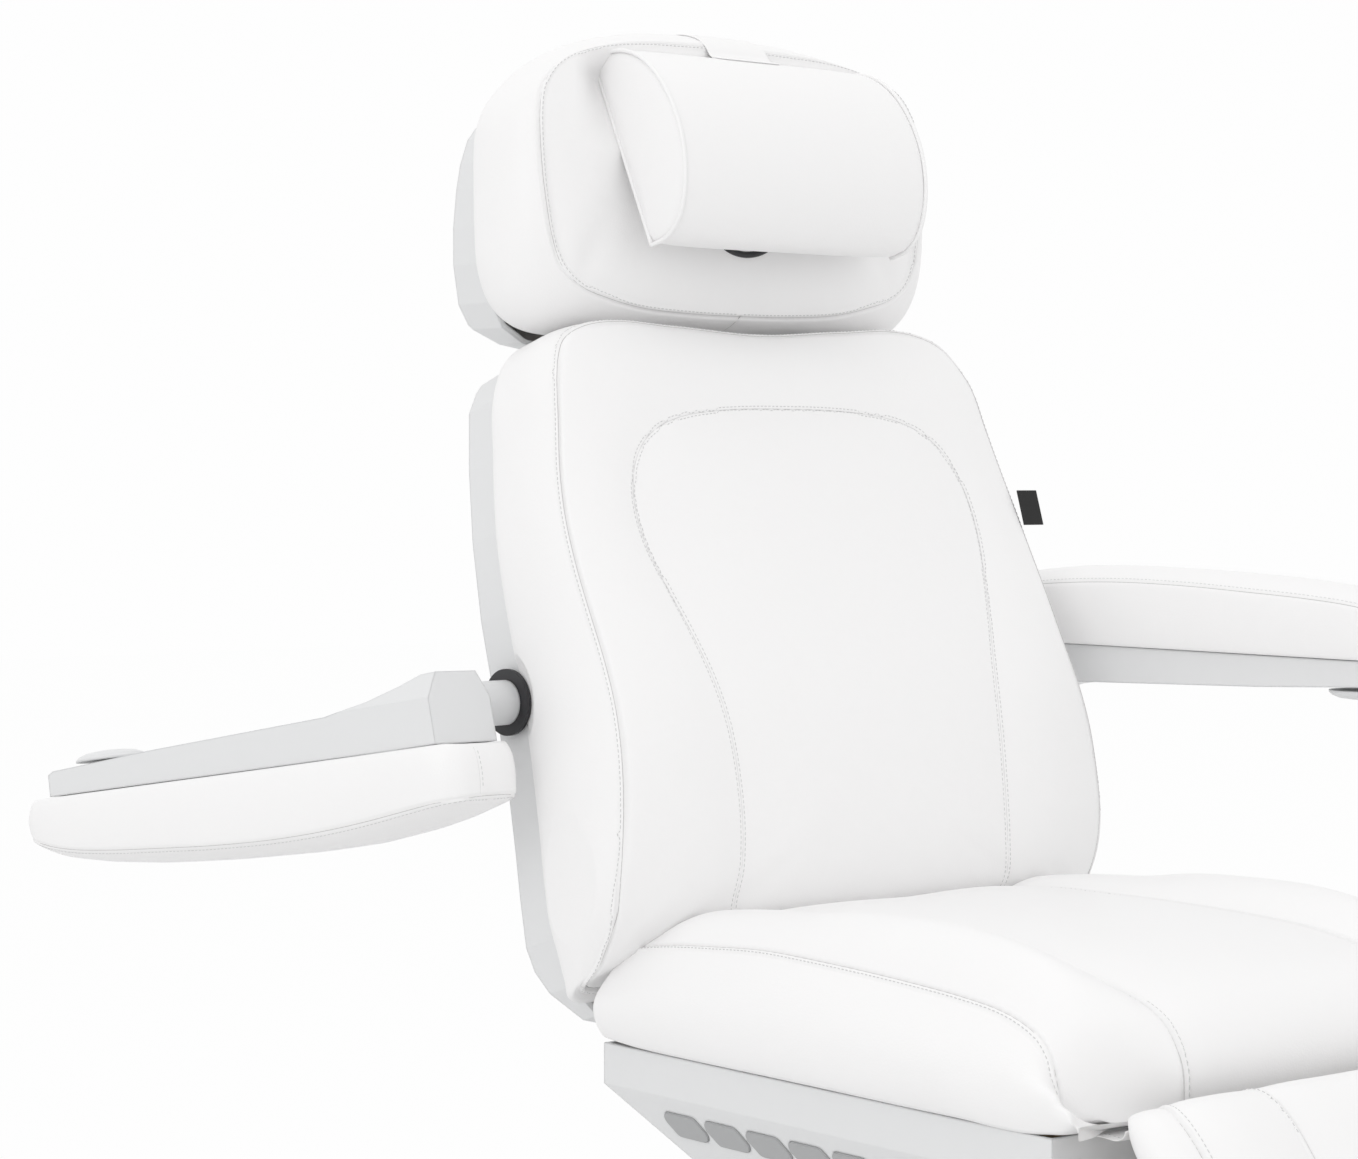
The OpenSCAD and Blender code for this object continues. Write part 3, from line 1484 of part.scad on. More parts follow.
module right_pad() {
    pad(-1, right_arm_angle);
}

module right_knob() {
    knob(-1, right_arm_angle);
}

module left_casing() {
    casing(1, left_arm_angle);
}

module left_pad() {
    pad(1, left_arm_angle);
}

module left_knob() {
    knob(1, left_arm_angle);
}

// Leg rest: local axes are X, up along the leg and out of its front, from the hinge pin
module at_leg() {
    at_seat()
        translate([0, leg_pin_up, leg_pin_fwd])
            rotate([-leg_lean, 0, 0])
                children();
}

leg_board_n = 13;
leg_rail_t = 20;
leg_rail_n = 0;
leg_rail_low = 400;
leg_board_from = 26;
leg_shell_n = -34;

module leg_frame() {
    lx = rail_x + run_gap;
    lever_x = -actuator_x - rod_d / 2 - run_gap * 2 - lever_t;
    color(steel) {
        at_leg()
            both_sides() {
                difference() {
                    union() {
                        block(lx, lx + rail_w, -leg_rail_low, -hinge_r * 2, leg_rail_n - leg_rail_t, leg_rail_n);
                        plate([[-hinge_r, 0], [hinge_r, 0], [leg_rail_n, -hinge_r * 2], [leg_rail_n, -hinge_r * 3],
                            [leg_rail_n - leg_rail_t, -hinge_r * 3], [leg_rail_n - leg_rail_t, -hinge_r * 2]],
                            lx, lx + hinge_lug_t);
                        pin_x(2 * hinge_r, lx, lx + hinge_lug_t, 0, 0);
                    }
                    pin_x(hinge_pin_d + 2 * shaft_gap, lx - cut, lx + hinge_lug_t + cut, 0, 0);
                }
                block(-cut, lx + cut, -hinge_r * 3.5, -hinge_r * 2, leg_rail_n - leg_rail_t, leg_rail_n);
            }
        at_seat()
            translate([0, leg_pin_up, leg_pin_fwd])
                rotate([leg_swing / 2, 0, 0])
                    slotted_lever(lever_x, lever_x + lever_t, leg_rod_drop / cos(leg_swing / 2), leg_rod_drop,
                        leg_slot_play, -leg_rod_drop + lever_join);
        at_leg()
            block(lever_x, lever_x + lever_t, -hinge_r * 3.5, -hinge_r * 2, 2 * lever_eye - leg_rod_drop, leg_rail_n);
    }
}

module leg_board() {
    color("#c8a878")
        at_leg()
            block(housing_wall + run_gap - board_half_w, board_half_w - housing_wall - run_gap,
                leg_above - leg_len + 2 * housing_wall + run_gap, -leg_board_from, leg_rail_n + run_gap, leg_board_n);
}

module leg_shell() {
    w = board_half_w;
    low = leg_above - leg_len + housing_wall;
    top = -leg_board_from - housing_wall;
    color(shell_grey)
        at_leg()
            difference() {
                block(-w, w, low, top, leg_shell_n, leg_board_n);
                block(housing_wall - w, w - housing_wall, low + housing_wall, top + cut, leg_shell_n + housing_wall,
                    leg_board_n + cut);
                block(-w - cut, w + cut, top - hinge_r * 2, top + cut, leg_shell_n - cut, leg_rail_n - leg_rail_t + housing_wall);
            }
}

// Leg cushion sections: place down the leg, width and height as shares
leg_shares = [[0, 0.93, 0.42, 0.62], [0.008, 0.96, 0.24, 0.76], [0.03, 0.98, 0, 0.9], [0.07, 1, 0, 0.97], [0.13, 1, 0, 1],
    [0.35, 1, 0, 1.02], [0.6, 1, 0, 1.02], [0.8, 1, 0, 1], [0.9, 0.99, 0, 0.94], [0.955, 0.96, 0, 0.84],
    [0.985, 0.92, 0.1, 0.68], [1, 0.86, 0.25, 0.5]];
leg_crown = 16;

module leg_cushion() {
    half = leg_half_w;
    side = [[0, 0], [0.6, 0], [0.97, 0], [1.08, 0.15], [1.125, 0.45], [1.1, 0.75], [1, 1]];
    over = [[0.86, 0.75], [0.74, 0.9], [0.69, 0.6], [0.6, 0.85], [0.3, 1], [0, 1]];
    base = leg_board_n + soft_gap;
    loops = [for (k = [len(leg_shares) - 1:-1:0])
        let (s = leg_shares[k])
        [for (p = whole(concat([for (q = side) [q[0] * half * s[1], between(s[2], s[3], q[1]) * leg_t]],
            [for (q = over) [q[0] * half * s[1], leg_t * s[3] + q[1] * leg_crown * s[3]]])))
            [p[0], leg_above - s[0] * leg_len, base + p[1]]]];
    color(vinyl)
        at_leg()
            skin([for (l = loops) [for (k = [len(l) - 1:-1:0]) l[k]]]);
}

base_plate();
levelling_feet();
base_cover();
outer_sleeve();
middle_sleeve();
inner_sleeve();
outer_glides();
middle_glides();
lift_motor();
lift_nut();
control_box();
mains_inlet();
flange_bolts();
tilt_actuator();
tilt_rod();
seat_frame();
seat_board();
seat_housing();
seat_cushion();
seat_flap();
button_board();
button_1();
button_2();
button_3();
button_4();
button_5();
button_6();
button_7();
button_8();
back_actuator();
back_rod();
leg_actuator();
leg_rod();
hinge_pins();
back_frame();
back_board();
back_shell();
back_cushion();
side_tag();
arm_axles();
arm_washers();
post_guides();
head_posts();
head_bracket();
head_board();
head_shell();
head_cushion();
face_plug();
neck_pillow();
pillow_strap();
right_casing();
right_pad();
right_knob();
left_casing();
left_pad();
left_knob();
leg_frame();
leg_board();
leg_shell();
leg_cushion();
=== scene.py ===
import math
import bpy
import bmesh
import numpy as np
from mathutils import Matrix, Vector, kdtree


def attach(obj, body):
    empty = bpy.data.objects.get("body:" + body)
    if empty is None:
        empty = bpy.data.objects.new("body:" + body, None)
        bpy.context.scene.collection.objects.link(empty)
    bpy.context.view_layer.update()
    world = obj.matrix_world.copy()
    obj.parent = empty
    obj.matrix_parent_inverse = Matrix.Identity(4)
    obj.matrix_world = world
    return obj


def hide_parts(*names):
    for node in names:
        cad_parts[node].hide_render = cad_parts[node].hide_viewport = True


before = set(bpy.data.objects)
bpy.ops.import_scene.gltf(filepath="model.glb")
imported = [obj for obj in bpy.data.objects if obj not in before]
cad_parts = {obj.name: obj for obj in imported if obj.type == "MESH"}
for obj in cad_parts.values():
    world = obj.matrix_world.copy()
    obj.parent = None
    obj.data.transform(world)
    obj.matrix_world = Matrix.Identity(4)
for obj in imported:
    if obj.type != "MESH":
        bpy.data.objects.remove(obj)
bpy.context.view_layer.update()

MM = 0.001
ON_SEAM = 0.0008    # a point this close to a seam is held by it
scene = bpy.context.scene


# Frames of the CAD, in metres
def rot_x(deg):
    return Matrix.Rotation(math.radians(deg), 4, "X")


SEAT = Matrix.Translation((0, 0.200, 0.600)) @ rot_x(90)            # X, up, forward
BACK = Matrix.Translation((0, 0.301, 0.600)) @ rot_x(73)            # X, up the back, out of its front
HEAD = BACK @ Matrix.Translation((0, 0.523, -0.0106)) @ rot_x(17)   # X, up, forward
LEG = SEAT @ Matrix.Translation((0, -0.114, 0.530)) @ rot_x(-38)    # X, up the leg, out of its front


def arm_frame(side, swing):
    """Outward, up and forward along the arm, from its pivot."""
    mirror = Matrix.Scale(-1, 4, (1, 0, 0)) if side < 0 else Matrix.Identity(4)
    axle = Matrix.Translation((0.270, 0.1885, -0.0145)) @ rot_x(17) @ Matrix.Rotation(math.radians(-4.2), 4, "Y")
    return BACK @ mirror @ axle @ rot_x(-swing) @ Matrix.Rotation(math.radians(10.5), 4, "Y")


# Camera, light, floor
SENSOR = 36.0       # width of the film, in millimetres
FOCAL_PX = 3287     # fitted to the photo, in its pixels
PHOTO_PX = 1358     # width of the photo
cam_data = bpy.data.cameras.new("camera")
cam_data.sensor_fit = "HORIZONTAL"
cam_data.sensor_width = SENSOR
cam_data.lens = SENSOR * FOCAL_PX / PHOTO_PX
cam = bpy.data.objects.new("camera", cam_data)
cam.location = (-1.9499, 0.200 - 2.1249, 0.970)
cam.rotation_euler = (math.radians(90 - 1.77), 0, math.radians(-39.14))
scene.collection.objects.link(cam)
scene.camera = cam
scene.view_settings.view_transform = "Standard"


def node(tree, kind, **settings):
    n = tree.nodes.new(kind)
    for k, v in settings.items():
        setattr(n, k, v)
    return n


def white_world(level, shade):
    w = bpy.data.worlds.new("studio")
    scene.world = w
    w.use_nodes = True
    t = w.node_tree
    t.nodes.clear()
    out = node(t, "ShaderNodeOutputWorld")
    lit = node(t, "ShaderNodeBackground")
    seen = node(t, "ShaderNodeBackground")
    lit.inputs["Strength"].default_value = level
    # soft sky, a little brighter above than below
    coord = node(t, "ShaderNodeTexCoord")
    split = node(t, "ShaderNodeSeparateXYZ")
    t.links.new(coord.outputs["Generated"], split.inputs[0])
    ramp = node(t, "ShaderNodeMapRange")
    ramp.inputs["From Min"].default_value = -0.6
    ramp.inputs["From Max"].default_value = 0.8
    ramp.inputs["To Min"].default_value = 0.0
    ramp.inputs["To Max"].default_value = 1.0
    t.links.new(split.outputs["Z"], ramp.inputs["Value"])
    mix = node(t, "ShaderNodeMix", data_type="RGBA")
    mix.inputs[6].default_value = (shade, shade, shade, 1)
    mix.inputs[7].default_value = (1, 1, 1, 1)
    t.links.new(ramp.outputs["Result"], mix.inputs["Factor"])
    t.links.new(mix.outputs[2], lit.inputs["Color"])
    seen.inputs["Color"].default_value = (0.99, 0.99, 0.99, 1)
    seen.inputs["Strength"].default_value = 1.0
    path = node(t, "ShaderNodeLightPath")
    either = node(t, "ShaderNodeMath", operation="ADD", use_clamp=True)
    t.links.new(path.outputs["Is Camera Ray"], either.inputs[0])
    t.links.new(path.outputs["Is Glossy Ray"], either.inputs[1])
    join = node(t, "ShaderNodeMixShader")
    t.links.new(either.outputs[0], join.inputs[0])
    t.links.new(lit.outputs[0], join.inputs[1])
    t.links.new(seen.outputs[0], join.inputs[2])
    t.links.new(join.outputs[0], out.inputs[0])


def area(name, at, to, size, power):
    d = bpy.data.lights.new(name, "AREA")
    d.shape = "DISK"
    d.size = size
    d.energy = power
    o = bpy.data.objects.new(name, d)
    o.location = at
    o.rotation_euler = (Vector(to) - Vector(at)).to_track_quat("-Z", "Y").to_euler()
    scene.collection.objects.link(o)


white_world(0.93, 0.90)
area("key", (-4.2, -1.2, 2.6), (0, 0.1, 0.8), 2.6, 24)
area("front", (0.6, -4.6, 2.4), (0, 0.1, 0.8), 3.0, 7)
area("top", (0.3, 0.6, 4.4), (0, 0.1, 0.7), 3.0, 8)


def floor_material():
    m = bpy.data.materials.new("floor_white")
    m.use_nodes = True
    t = m.node_tree
    t.nodes.clear()
    out = node(t, "ShaderNodeOutputMaterial")
    matt = node(t, "ShaderNodeBsdfDiffuse")
    matt.inputs["Color"].default_value = (0.86, 0.86, 0.86, 1)
    glow = node(t, "ShaderNodeEmission")
    glow.inputs["Color"].default_value = (1, 1, 1, 1)
    path = node(t, "ShaderNodeLightPath")
    share = node(t, "ShaderNodeMath", operation="MULTIPLY")
    share.inputs[1].default_value = 0.94
    t.links.new(path.outputs["Is Camera Ray"], share.inputs[0])
    mix = node(t, "ShaderNodeMixShader")
    t.links.new(share.outputs[0], mix.inputs[0])
    t.links.new(matt.outputs[0], mix.inputs[1])
    t.links.new(glow.outputs[0], mix.inputs[2])
    t.links.new(mix.outputs[0], out.inputs[0])
    return m


def build_floor():
    me = bpy.data.meshes.new("floor")
    s = 14.0
    me.from_pydata([(-s, -s, 0), (s, -s, 0), (s, s, 0), (-s, s, 0)], [], [(0, 1, 2, 3)])
    o = bpy.data.objects.new("floor", me)
    scene.collection.objects.link(o)
    me.materials.append(floor_material())


build_floor()


# Materials
def surface(name, color, rough, metal=0.0, grain=0.0, grain_size=0.001, blotch=0.0, bevel=0.0,
            grain_kind="noise", specular=0.5):
    """A procedural material: fine relief, slow changes of shade and roughness, and softened edges."""
    m = bpy.data.materials.new(name)
    m.use_nodes = True
    t = m.node_tree
    b = t.nodes["Principled BSDF"]
    b.inputs["Metallic"].default_value = metal
    b.inputs["Specular IOR Level"].default_value = specular
    coord = node(t, "ShaderNodeTexCoord")
    cloud = node(t, "ShaderNodeTexNoise")
    cloud.inputs["Scale"].default_value = 9.0
    cloud.inputs["Detail"].default_value = 5.0
    t.links.new(coord.outputs["Object"], cloud.inputs["Vector"])
    tone = node(t, "ShaderNodeMix", data_type="RGBA")
    dark = [c * (1 - blotch) for c in color]
    tone.inputs[6].default_value = (*dark, 1)
    tone.inputs[7].default_value = (*color, 1)
    t.links.new(cloud.outputs["Fac"], tone.inputs["Factor"])
    t.links.new(tone.outputs[2], b.inputs["Base Color"])
    level = node(t, "ShaderNodeMapRange")
    level.inputs["To Min"].default_value = rough * 0.88
    level.inputs["To Max"].default_value = min(1.0, rough * 1.12)
    t.links.new(cloud.outputs["Fac"], level.inputs["Value"])
    t.links.new(level.outputs["Result"], b.inputs["Roughness"])
    normal = None
    if bevel:
        edge = node(t, "ShaderNodeBevel", samples=6)
        edge.inputs["Radius"].default_value = bevel
        normal = edge.outputs["Normal"]
    if grain:
        if grain_kind == "cells":
            relief = node(t, "ShaderNodeTexVoronoi", feature="SMOOTH_F1")
            relief.inputs["Smoothness"].default_value = 0.6
            height = relief.outputs["Distance"]
        else:
            relief = node(t, "ShaderNodeTexNoise")
            relief.inputs["Detail"].default_value = 6.0
            height = relief.outputs["Fac"]
        relief.inputs["Scale"].default_value = 1.0 / grain_size
        t.links.new(coord.outputs["Object"], relief.inputs["Vector"])
        bump = node(t, "ShaderNodeBump")
        bump.inputs["Strength"].default_value = grain
        bump.inputs["Distance"].default_value = grain_size * 0.12
        t.links.new(height, bump.inputs["Height"])
        if normal:
            t.links.new(normal, bump.inputs["Normal"])
        normal = bump.outputs["Normal"]
    if normal:
        t.links.new(normal, b.inputs["Normal"])
    return m


def timber(name):
    m = surface(name, (0.62, 0.46, 0.28), 0.65, grain=0.25, grain_size=0.002, blotch=0.2)
    t = m.node_tree
    b = t.nodes["Principled BSDF"]
    coord = node(t, "ShaderNodeTexCoord")
    scale = node(t, "ShaderNodeMapping")
    scale.inputs["Scale"].default_value = (3, 40, 160)
    rings = node(t, "ShaderNodeTexNoise")
    rings.inputs["Detail"].default_value = 4
    t.links.new(coord.outputs["Object"], scale.inputs["Vector"])
    t.links.new(scale.outputs[0], rings.inputs["Vector"])
    ramp = node(t, "ShaderNodeValToRGB")
    ramp.color_ramp.elements[0].color = (0.42, 0.28, 0.15, 1)
    ramp.color_ramp.elements[1].color = (0.72, 0.56, 0.36, 1)
    t.links.new(rings.outputs["Fac"], ramp.inputs[0])
    t.links.new(ramp.outputs[0], b.inputs["Base Color"])
    return m


MAT = {
    "vinyl": surface("white_vinyl", (0.93, 0.925, 0.925), 0.42, grain=0.35, grain_size=0.0016, blotch=0.012,
                     grain_kind="cells", specular=0.4),
    "thread": surface("grey_thread", (0.66, 0.66, 0.66), 0.7, grain=0.5, grain_size=0.0006),
    # grey for the slim tubes laid along the floor of seam valleys: painted shade of the seam lines, darker at the sharp
    # seams than at the soft ones
    "crease": surface("painted_seam_shade", (0.60, 0.59, 0.59), 0.7, grain=0.3, grain_size=0.0008),
    "fold_shade": surface("painted_fold_shade", (0.70, 0.695, 0.695), 0.7, grain=0.3, grain_size=0.0008),
    "shell": surface("grey_shell", (0.78, 0.785, 0.79), 0.38, grain=0.12, grain_size=0.0009, blotch=0.015, bevel=0.003),
    "frame": surface("frame_steel", (0.30, 0.31, 0.33), 0.45, grain=0.2, grain_size=0.0012, blotch=0.05, bevel=0.0012),
    "sleeve": surface("sleeve_paint", (0.66, 0.67, 0.68), 0.4, grain=0.15, grain_size=0.001, blotch=0.03, bevel=0.0015),
    "black": surface("black_plastic", (0.025, 0.025, 0.028), 0.45, grain=0.15, grain_size=0.001, blotch=0.1,
                     bevel=0.0008),
    "rubber": surface("foot_rubber", (0.03, 0.03, 0.032), 0.8, grain=0.4, grain_size=0.0015, blotch=0.2, bevel=0.001),
    "bright": surface("bright_steel", (0.70, 0.71, 0.72), 0.22, metal=1.0, grain=0.06, grain_size=0.0008, blotch=0.04,
                      bevel=0.0006),
    "zinc": surface("zinc_steel", (0.55, 0.56, 0.58), 0.35, metal=1.0, grain=0.15, grain_size=0.001, blotch=0.1,
                    bevel=0.0008),
    "drive": surface("drive_paint", (0.10, 0.105, 0.115), 0.5, grain=0.25, grain_size=0.0012, blotch=0.08, bevel=0.001),
    "bronze": surface("nut_bronze", (0.62, 0.45, 0.22), 0.32, metal=1.0, grain=0.2, grain_size=0.001, blotch=0.12),
    "button": surface("button_grey", (0.42, 0.425, 0.43), 0.42, grain=0.12, grain_size=0.0007, blotch=0.03,
                      bevel=0.0016),
    "circuit": surface("circuit_green", (0.03, 0.14, 0.06), 0.4, grain=0.3, grain_size=0.002, blotch=0.3),
    "tag": surface("black_tag", (0.012, 0.012, 0.012), 0.75, grain=0.6, grain_size=0.0008, blotch=0.3,
                   grain_kind="cells"),
    "ply": timber("plywood"),
}

DRESS = {
    "frame": ["base_plate", "seat_frame", "back_frame", "leg_frame", "head_bracket"],
    "sleeve": ["outer_sleeve", "middle_sleeve", "inner_sleeve"],
    "black": ["outer_glides", "middle_glides", "post_guides", "mains_inlet", "control_box", "arm_washers"],
    "rubber": ["levelling_feet"],
    "shell": ["base_cover", "seat_housing", "back_shell", "head_shell", "leg_shell", "right_casing", "left_casing",
              "right_knob", "left_knob"],
    "drive": ["lift_motor", "tilt_actuator", "back_actuator", "leg_actuator"],
    "bright": ["tilt_rod", "back_rod", "leg_rod", "hinge_pins", "arm_axles", "head_posts"],
    "zinc": ["flange_bolts"],
    "bronze": ["lift_nut"],
    "ply": ["seat_board", "back_board", "head_board", "leg_board"],
    "button": ["button_%d" % i for i in range(1, 9)],
    "circuit": ["button_board"],
    "tag": ["side_tag"],
    "vinyl": ["seat_cushion", "seat_flap", "back_cushion", "head_cushion", "face_plug", "neck_pillow", "pillow_strap",
              "right_pad", "left_pad", "leg_cushion"],
}
for key, names in DRESS.items():
    for name in names:
        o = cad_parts[name]
        if not o.material_slots:
            o.data.materials.append(MAT[key])
        for s in o.material_slots:
            s.material = MAT[key]


# Curves and patches
def spline(points, n, closed=False):
    """Evenly spaced points on a smooth curve through the given ones: n + 1 of them, or n round a closed loop."""
    p = np.asarray(points, float)
    if closed:
        q = np.vstack([p[-2:], p, p[:3]])
        first, last = 2, 2 + len(p)
    else:
        q = np.vstack([2 * p[0] - p[1], p, 2 * p[-1] - p[-2]])
        first, last = 1, len(p)
    d = np.maximum(np.linalg.norm(np.diff(q, axis=0), axis=1), 1e-9)
    slope = np.zeros_like(q)
    for i in range(1, len(q) - 1):
        slope[i] = (d[i] * (q[i] - q[i - 1]) / d[i - 1] + d[i - 1] * (q[i + 1] - q[i]) / d[i]) / (d[i - 1] + d[i])
    s = np.linspace(0, 1, 13)[:-1][:, None]
    dense = [(2 * s**3 - 3 * s**2 + 1) * q[i] + (s**3 - 2 * s**2 + s) * d[i] * slope[i]
             + (3 * s**2 - 2 * s**3) * q[i + 1] + (s**3 - s**2) * d[i] * slope[i + 1] for i in range(first, last)]
    dense = np.vstack(dense + [q[last][None]])
    run = np.concatenate([[0], np.cumsum(np.linalg.norm(np.diff(dense, axis=0), axis=1))])
    want = np.linspace(0, run[-1], n + 1)
    got = np.stack([np.interp(want, run, dense[:, k]) for k in range(dense.shape[1])], 1)
    return got[:-1] if closed else got


def patch(rows, nu, nv, closed=False):
    """A smooth grid through rows of control points: nu steps from row to row, nv along a row."""
    c = np.asarray(rows, float)
    cols = np.stack([spline(c[:, j], nu) for j in range(c.shape[1])], 1)
    return np.stack([spline(r, nv, closed) for r in cols])


def coons(loop, na):
    """Fills a closed loop with a grid. The loop starts in the middle of the first side, which has na steps."""
    n = len(loop)
    nb = n // 2 - na
    p = np.roll(loop, na // 2, axis=0)
    a, b = p[:na + 1], p[na:na + nb + 1]
    c = p[na + nb:2 * na + nb + 1][::-1]
    d = np.vstack([p[2 * na + nb:], p[:1]])[::-1]
    u = np.linspace(0, 1, na + 1)[None, :, None]
    v = np.linspace(0, 1, nb + 1)[:, None, None]
    return ((1 - v) * a[None] + v * c[None] + (1 - u) * d[:, None] + u * b[:, None]
            - ((1 - u) * (1 - v) * a[0] + u * (1 - v) * a[-1] + (1 - u) * v * c[0] + u * v * c[-1]))


def whole(half):
    """Mirrors the right half of a loop: its first point is low on the middle and its last one high."""
    h = [tuple(p) for p in half]
    return h + [(-p[0],) + p[1:] for p in h[-2:0:-1]]


def section_of(box, bol, half, flip, j):
    """The line over a cushion at one end, from its lower right edge to its lower left one."""
    right = [box[::-1, j], bol[1:, j], half[1:, j]]
    left = [(half[::-1, j] * flip)[1:], (bol[::-1, j] * flip)[1:], (box[:, j] * flip)[1:]]
    return np.vstack(right + left)


def faces_of(rows, cols, closed):
    out = []
    for i in range(rows - 1):
        for j in range(cols if closed else cols - 1):
            k = (j + 1) % cols
            out.append((i * cols + j, i * cols + k, (i + 1) * cols + k, (i + 1) * cols + j))
    return out


def piece(name, grids, frame_matrix, material="vinyl"):
    """Welds grids, each (array, closed), into one object. Its mesh is in the row frame."""
    verts, faces = [], []
    for g, closed in grids:
        base = len(verts)
        verts += [Vector(p) * MM for p in g.reshape(-1, 3)]
        faces += [tuple(base + k for k in f) for f in faces_of(g.shape[0], g.shape[1], closed)]
    me = bpy.data.meshes.new(name)
    me.from_pydata(verts, [], faces)
    bm = bmesh.new()
    bm.from_mesh(me)
    bmesh.ops.remove_doubles(bm, verts=bm.verts, dist=0.0004)
    bmesh.ops.dissolve_degenerate(bm, dist=0.00005, edges=bm.edges)
    bmesh.ops.recalc_face_normals(bm, faces=bm.faces)
    bm.to_mesh(me)
    bm.free()
    me.transform(frame_matrix)
    if frame_matrix.determinant() < 0:
        me.flip_normals()
    me.materials.append(MAT[material])
    me.shade_smooth()
    o = bpy.data.objects.new(name, me)
    scene.collection.objects.link(o)
    return o


def thick(a, b):
    """The grids of a sheet: its two faces and the strips round its edge."""
    rim = [np.stack([a[0], b[0]]), np.stack([a[-1], b[-1]]), np.stack([a[:, 0], b[:, 0]]),
           np.stack([a[:, -1], b[:, -1]])]
    return [(g, False) for g in [a, b] + rim]


def coords(o):
    co = np.empty(len(o.data.vertices) * 3)
    o.data.vertices.foreach_get("co", co)
    return co.reshape(-1, 3)


def set_coords(o, co):
    o.data.vertices.foreach_set("co", co.ravel())
    o.data.update()


def to_local(co, matrix):
    """Points of the row frame, in millimetres in a frame of the CAD."""
    inv = np.array(matrix.inverted())
    return (co @ inv[:3, :3].T + inv[:3, 3]) * 1000


def world_line(line, matrix):
    m = np.array(matrix)
    return (np.asarray(line, float) * MM) @ m[:3, :3].T + m[:3, 3]


def reach(points, samples):
    """Distance from each point to the nearest sample."""
    tree = kdtree.KDTree(len(samples))
    for i, q in enumerate(samples):
        tree.insert(q, i)
    tree.balance()
    return np.array([tree.find(p)[2] for p in points])


def near(points, lines, matrix):
    """Distance from each point to the nearest sample of the lines."""
    return reach(points, np.vstack([world_line(l, matrix) for l in lines]))


def puff(o, held, cap, pressure=4.0, frames=20, mass=0.25, bend=0.6):
    """Fills the cover with air in a cloth simulation. Held points stay, and no point moves further than about cap."""
    start = coords(o)
    group = o.vertex_groups.new(name="held")
    group.add([int(i) for i in np.nonzero(held)[0]], 1.0, "REPLACE")
    mod = o.modifiers.new("air", "CLOTH")
    s = mod.settings
    s.quality = 6
    s.mass = mass
    s.tension_stiffness = 12
    s.compression_stiffness = 8
    s.shear_stiffness = 6
    s.bending_stiffness = bend
    s.use_pressure = True
    s.uniform_pressure_force = pressure
    s.vertex_group_mass = "held"
    s.effector_weights.gravity = 0
    mod.collision_settings.use_collision = False
    mod.collision_settings.use_self_collision = False
    mod.point_cache.frame_start = 1
    mod.point_cache.frame_end = frames
    for f in range(1, frames + 1):
        scene.frame_set(f)
    got = o.evaluated_get(bpy.context.evaluated_depsgraph_get())
    end = np.empty(len(start) * 3)
    got.data.vertices.foreach_get("co", end)
    move = end.reshape(-1, 3) - start
    size = np.maximum(np.linalg.norm(move, axis=1), 1e-9)
    move *= (cap * np.tanh(size / cap) / size)[:, None]
    o.modifiers.remove(mod)
    o.vertex_groups.remove(group)
    scene.frame_set(1)
    set_coords(o, start + move)


def refine(o):
    mod = o.modifiers.new("smooth", "SUBSURF")
    mod.levels = mod.render_levels = 1
    got = o.evaluated_get(bpy.context.evaluated_depsgraph_get())
    me = bpy.data.meshes.new_from_object(got)
    o.modifiers.remove(mod)
    old = o.data
    o.data = me
    me.name = old.name
    bpy.data.meshes.remove(old)
    me.shade_smooth()


def surface_line(o, line, matrix):
    """The line laid on the piece's surface, with the surface's normals."""
    pts = world_line(line, matrix)
    where, normals = [], []
    for p in pts:
        _, at, n, _ = o.closest_point_on_mesh(Vector(p))
        where.append(np.array(at))
        normals.append(np.array(n))
    return np.array(where), np.array(normals)


def offset_line(o, pts, normals, side):
    """Moves a line on the surface sideways and lays it on the surface again."""
    run = np.gradient(pts, axis=0)
    run /= np.maximum(np.linalg.norm(run, axis=1), 1e-9)[:, None]
    across = np.cross(normals, run)
    across /= np.maximum(np.linalg.norm(across, axis=1), 1e-9)[:, None]
    where, out = [], []
    for p in pts + across * side:
        _, at, n, _ = o.closest_point_on_mesh(Vector(p))
        where.append(np.array(at))
        out.append(np.array(n))
    return np.array(where), np.array(out)


def dense(line, step=1.5):
    """The same line with evenly spaced points, in the line's own unit."""
    p = np.asarray(line, float)
    run = np.concatenate([[0], np.cumsum(np.linalg.norm(np.diff(p, axis=0), axis=1))])
    n = max(2, int(run[-1] / step))
    want = np.linspace(0, run[-1], n + 1)
    return np.stack([np.interp(want, run, p[:, k]) for k in range(3)], 1)


STITCHES = {}
# stores of the grey tubes along seam valleys, which are painted shade lines
SEAM_SHADE_TUBES = {}
FOLD_SHADE_TUBES = {}


def thread_tube(store, pts, radius, sides=6):
    """Adds a slim tube along open points to a store of vertices and faces."""
    verts, faces = store
    run = np.gradient(pts, axis=0)
    run /= np.maximum(np.linalg.norm(run, axis=1), 1e-9)[:, None]
    side = np.cross(run[0], (0.3, 0.5, 0.81))
    base = len(verts)
    for i in range(len(pts)):
        side = side - run[i] * np.dot(side, run[i])
        side /= max(np.linalg.norm(side), 1e-9)
        up = np.cross(run[i], side)
        for k in range(sides):
            q = 2 * math.pi * k / sides
            verts.append(pts[i] + radius * (math.cos(q) * side + math.sin(q) * up))
    for i in range(len(pts) - 1):
        for j in range(sides):
            k = (j + 1) % sides
            faces.append((base + i * sides + j, base + i * sides + k, base + (i + 1) * sides + k,
                          base + (i + 1) * sides + j))
    faces.append(tuple(base + k for k in range(sides - 1, -1, -1)))
    faces.append(tuple(base + (len(pts) - 1) * sides + k for k in range(sides)))


def settle(pts, passes=30):
    """Evens out the small steps of a line between its ends."""
    p = pts.copy()
    for _ in range(passes):
        p[1:-1] = (p[:-2] + 2 * p[1:-1] + p[2:]) / 4
    return p


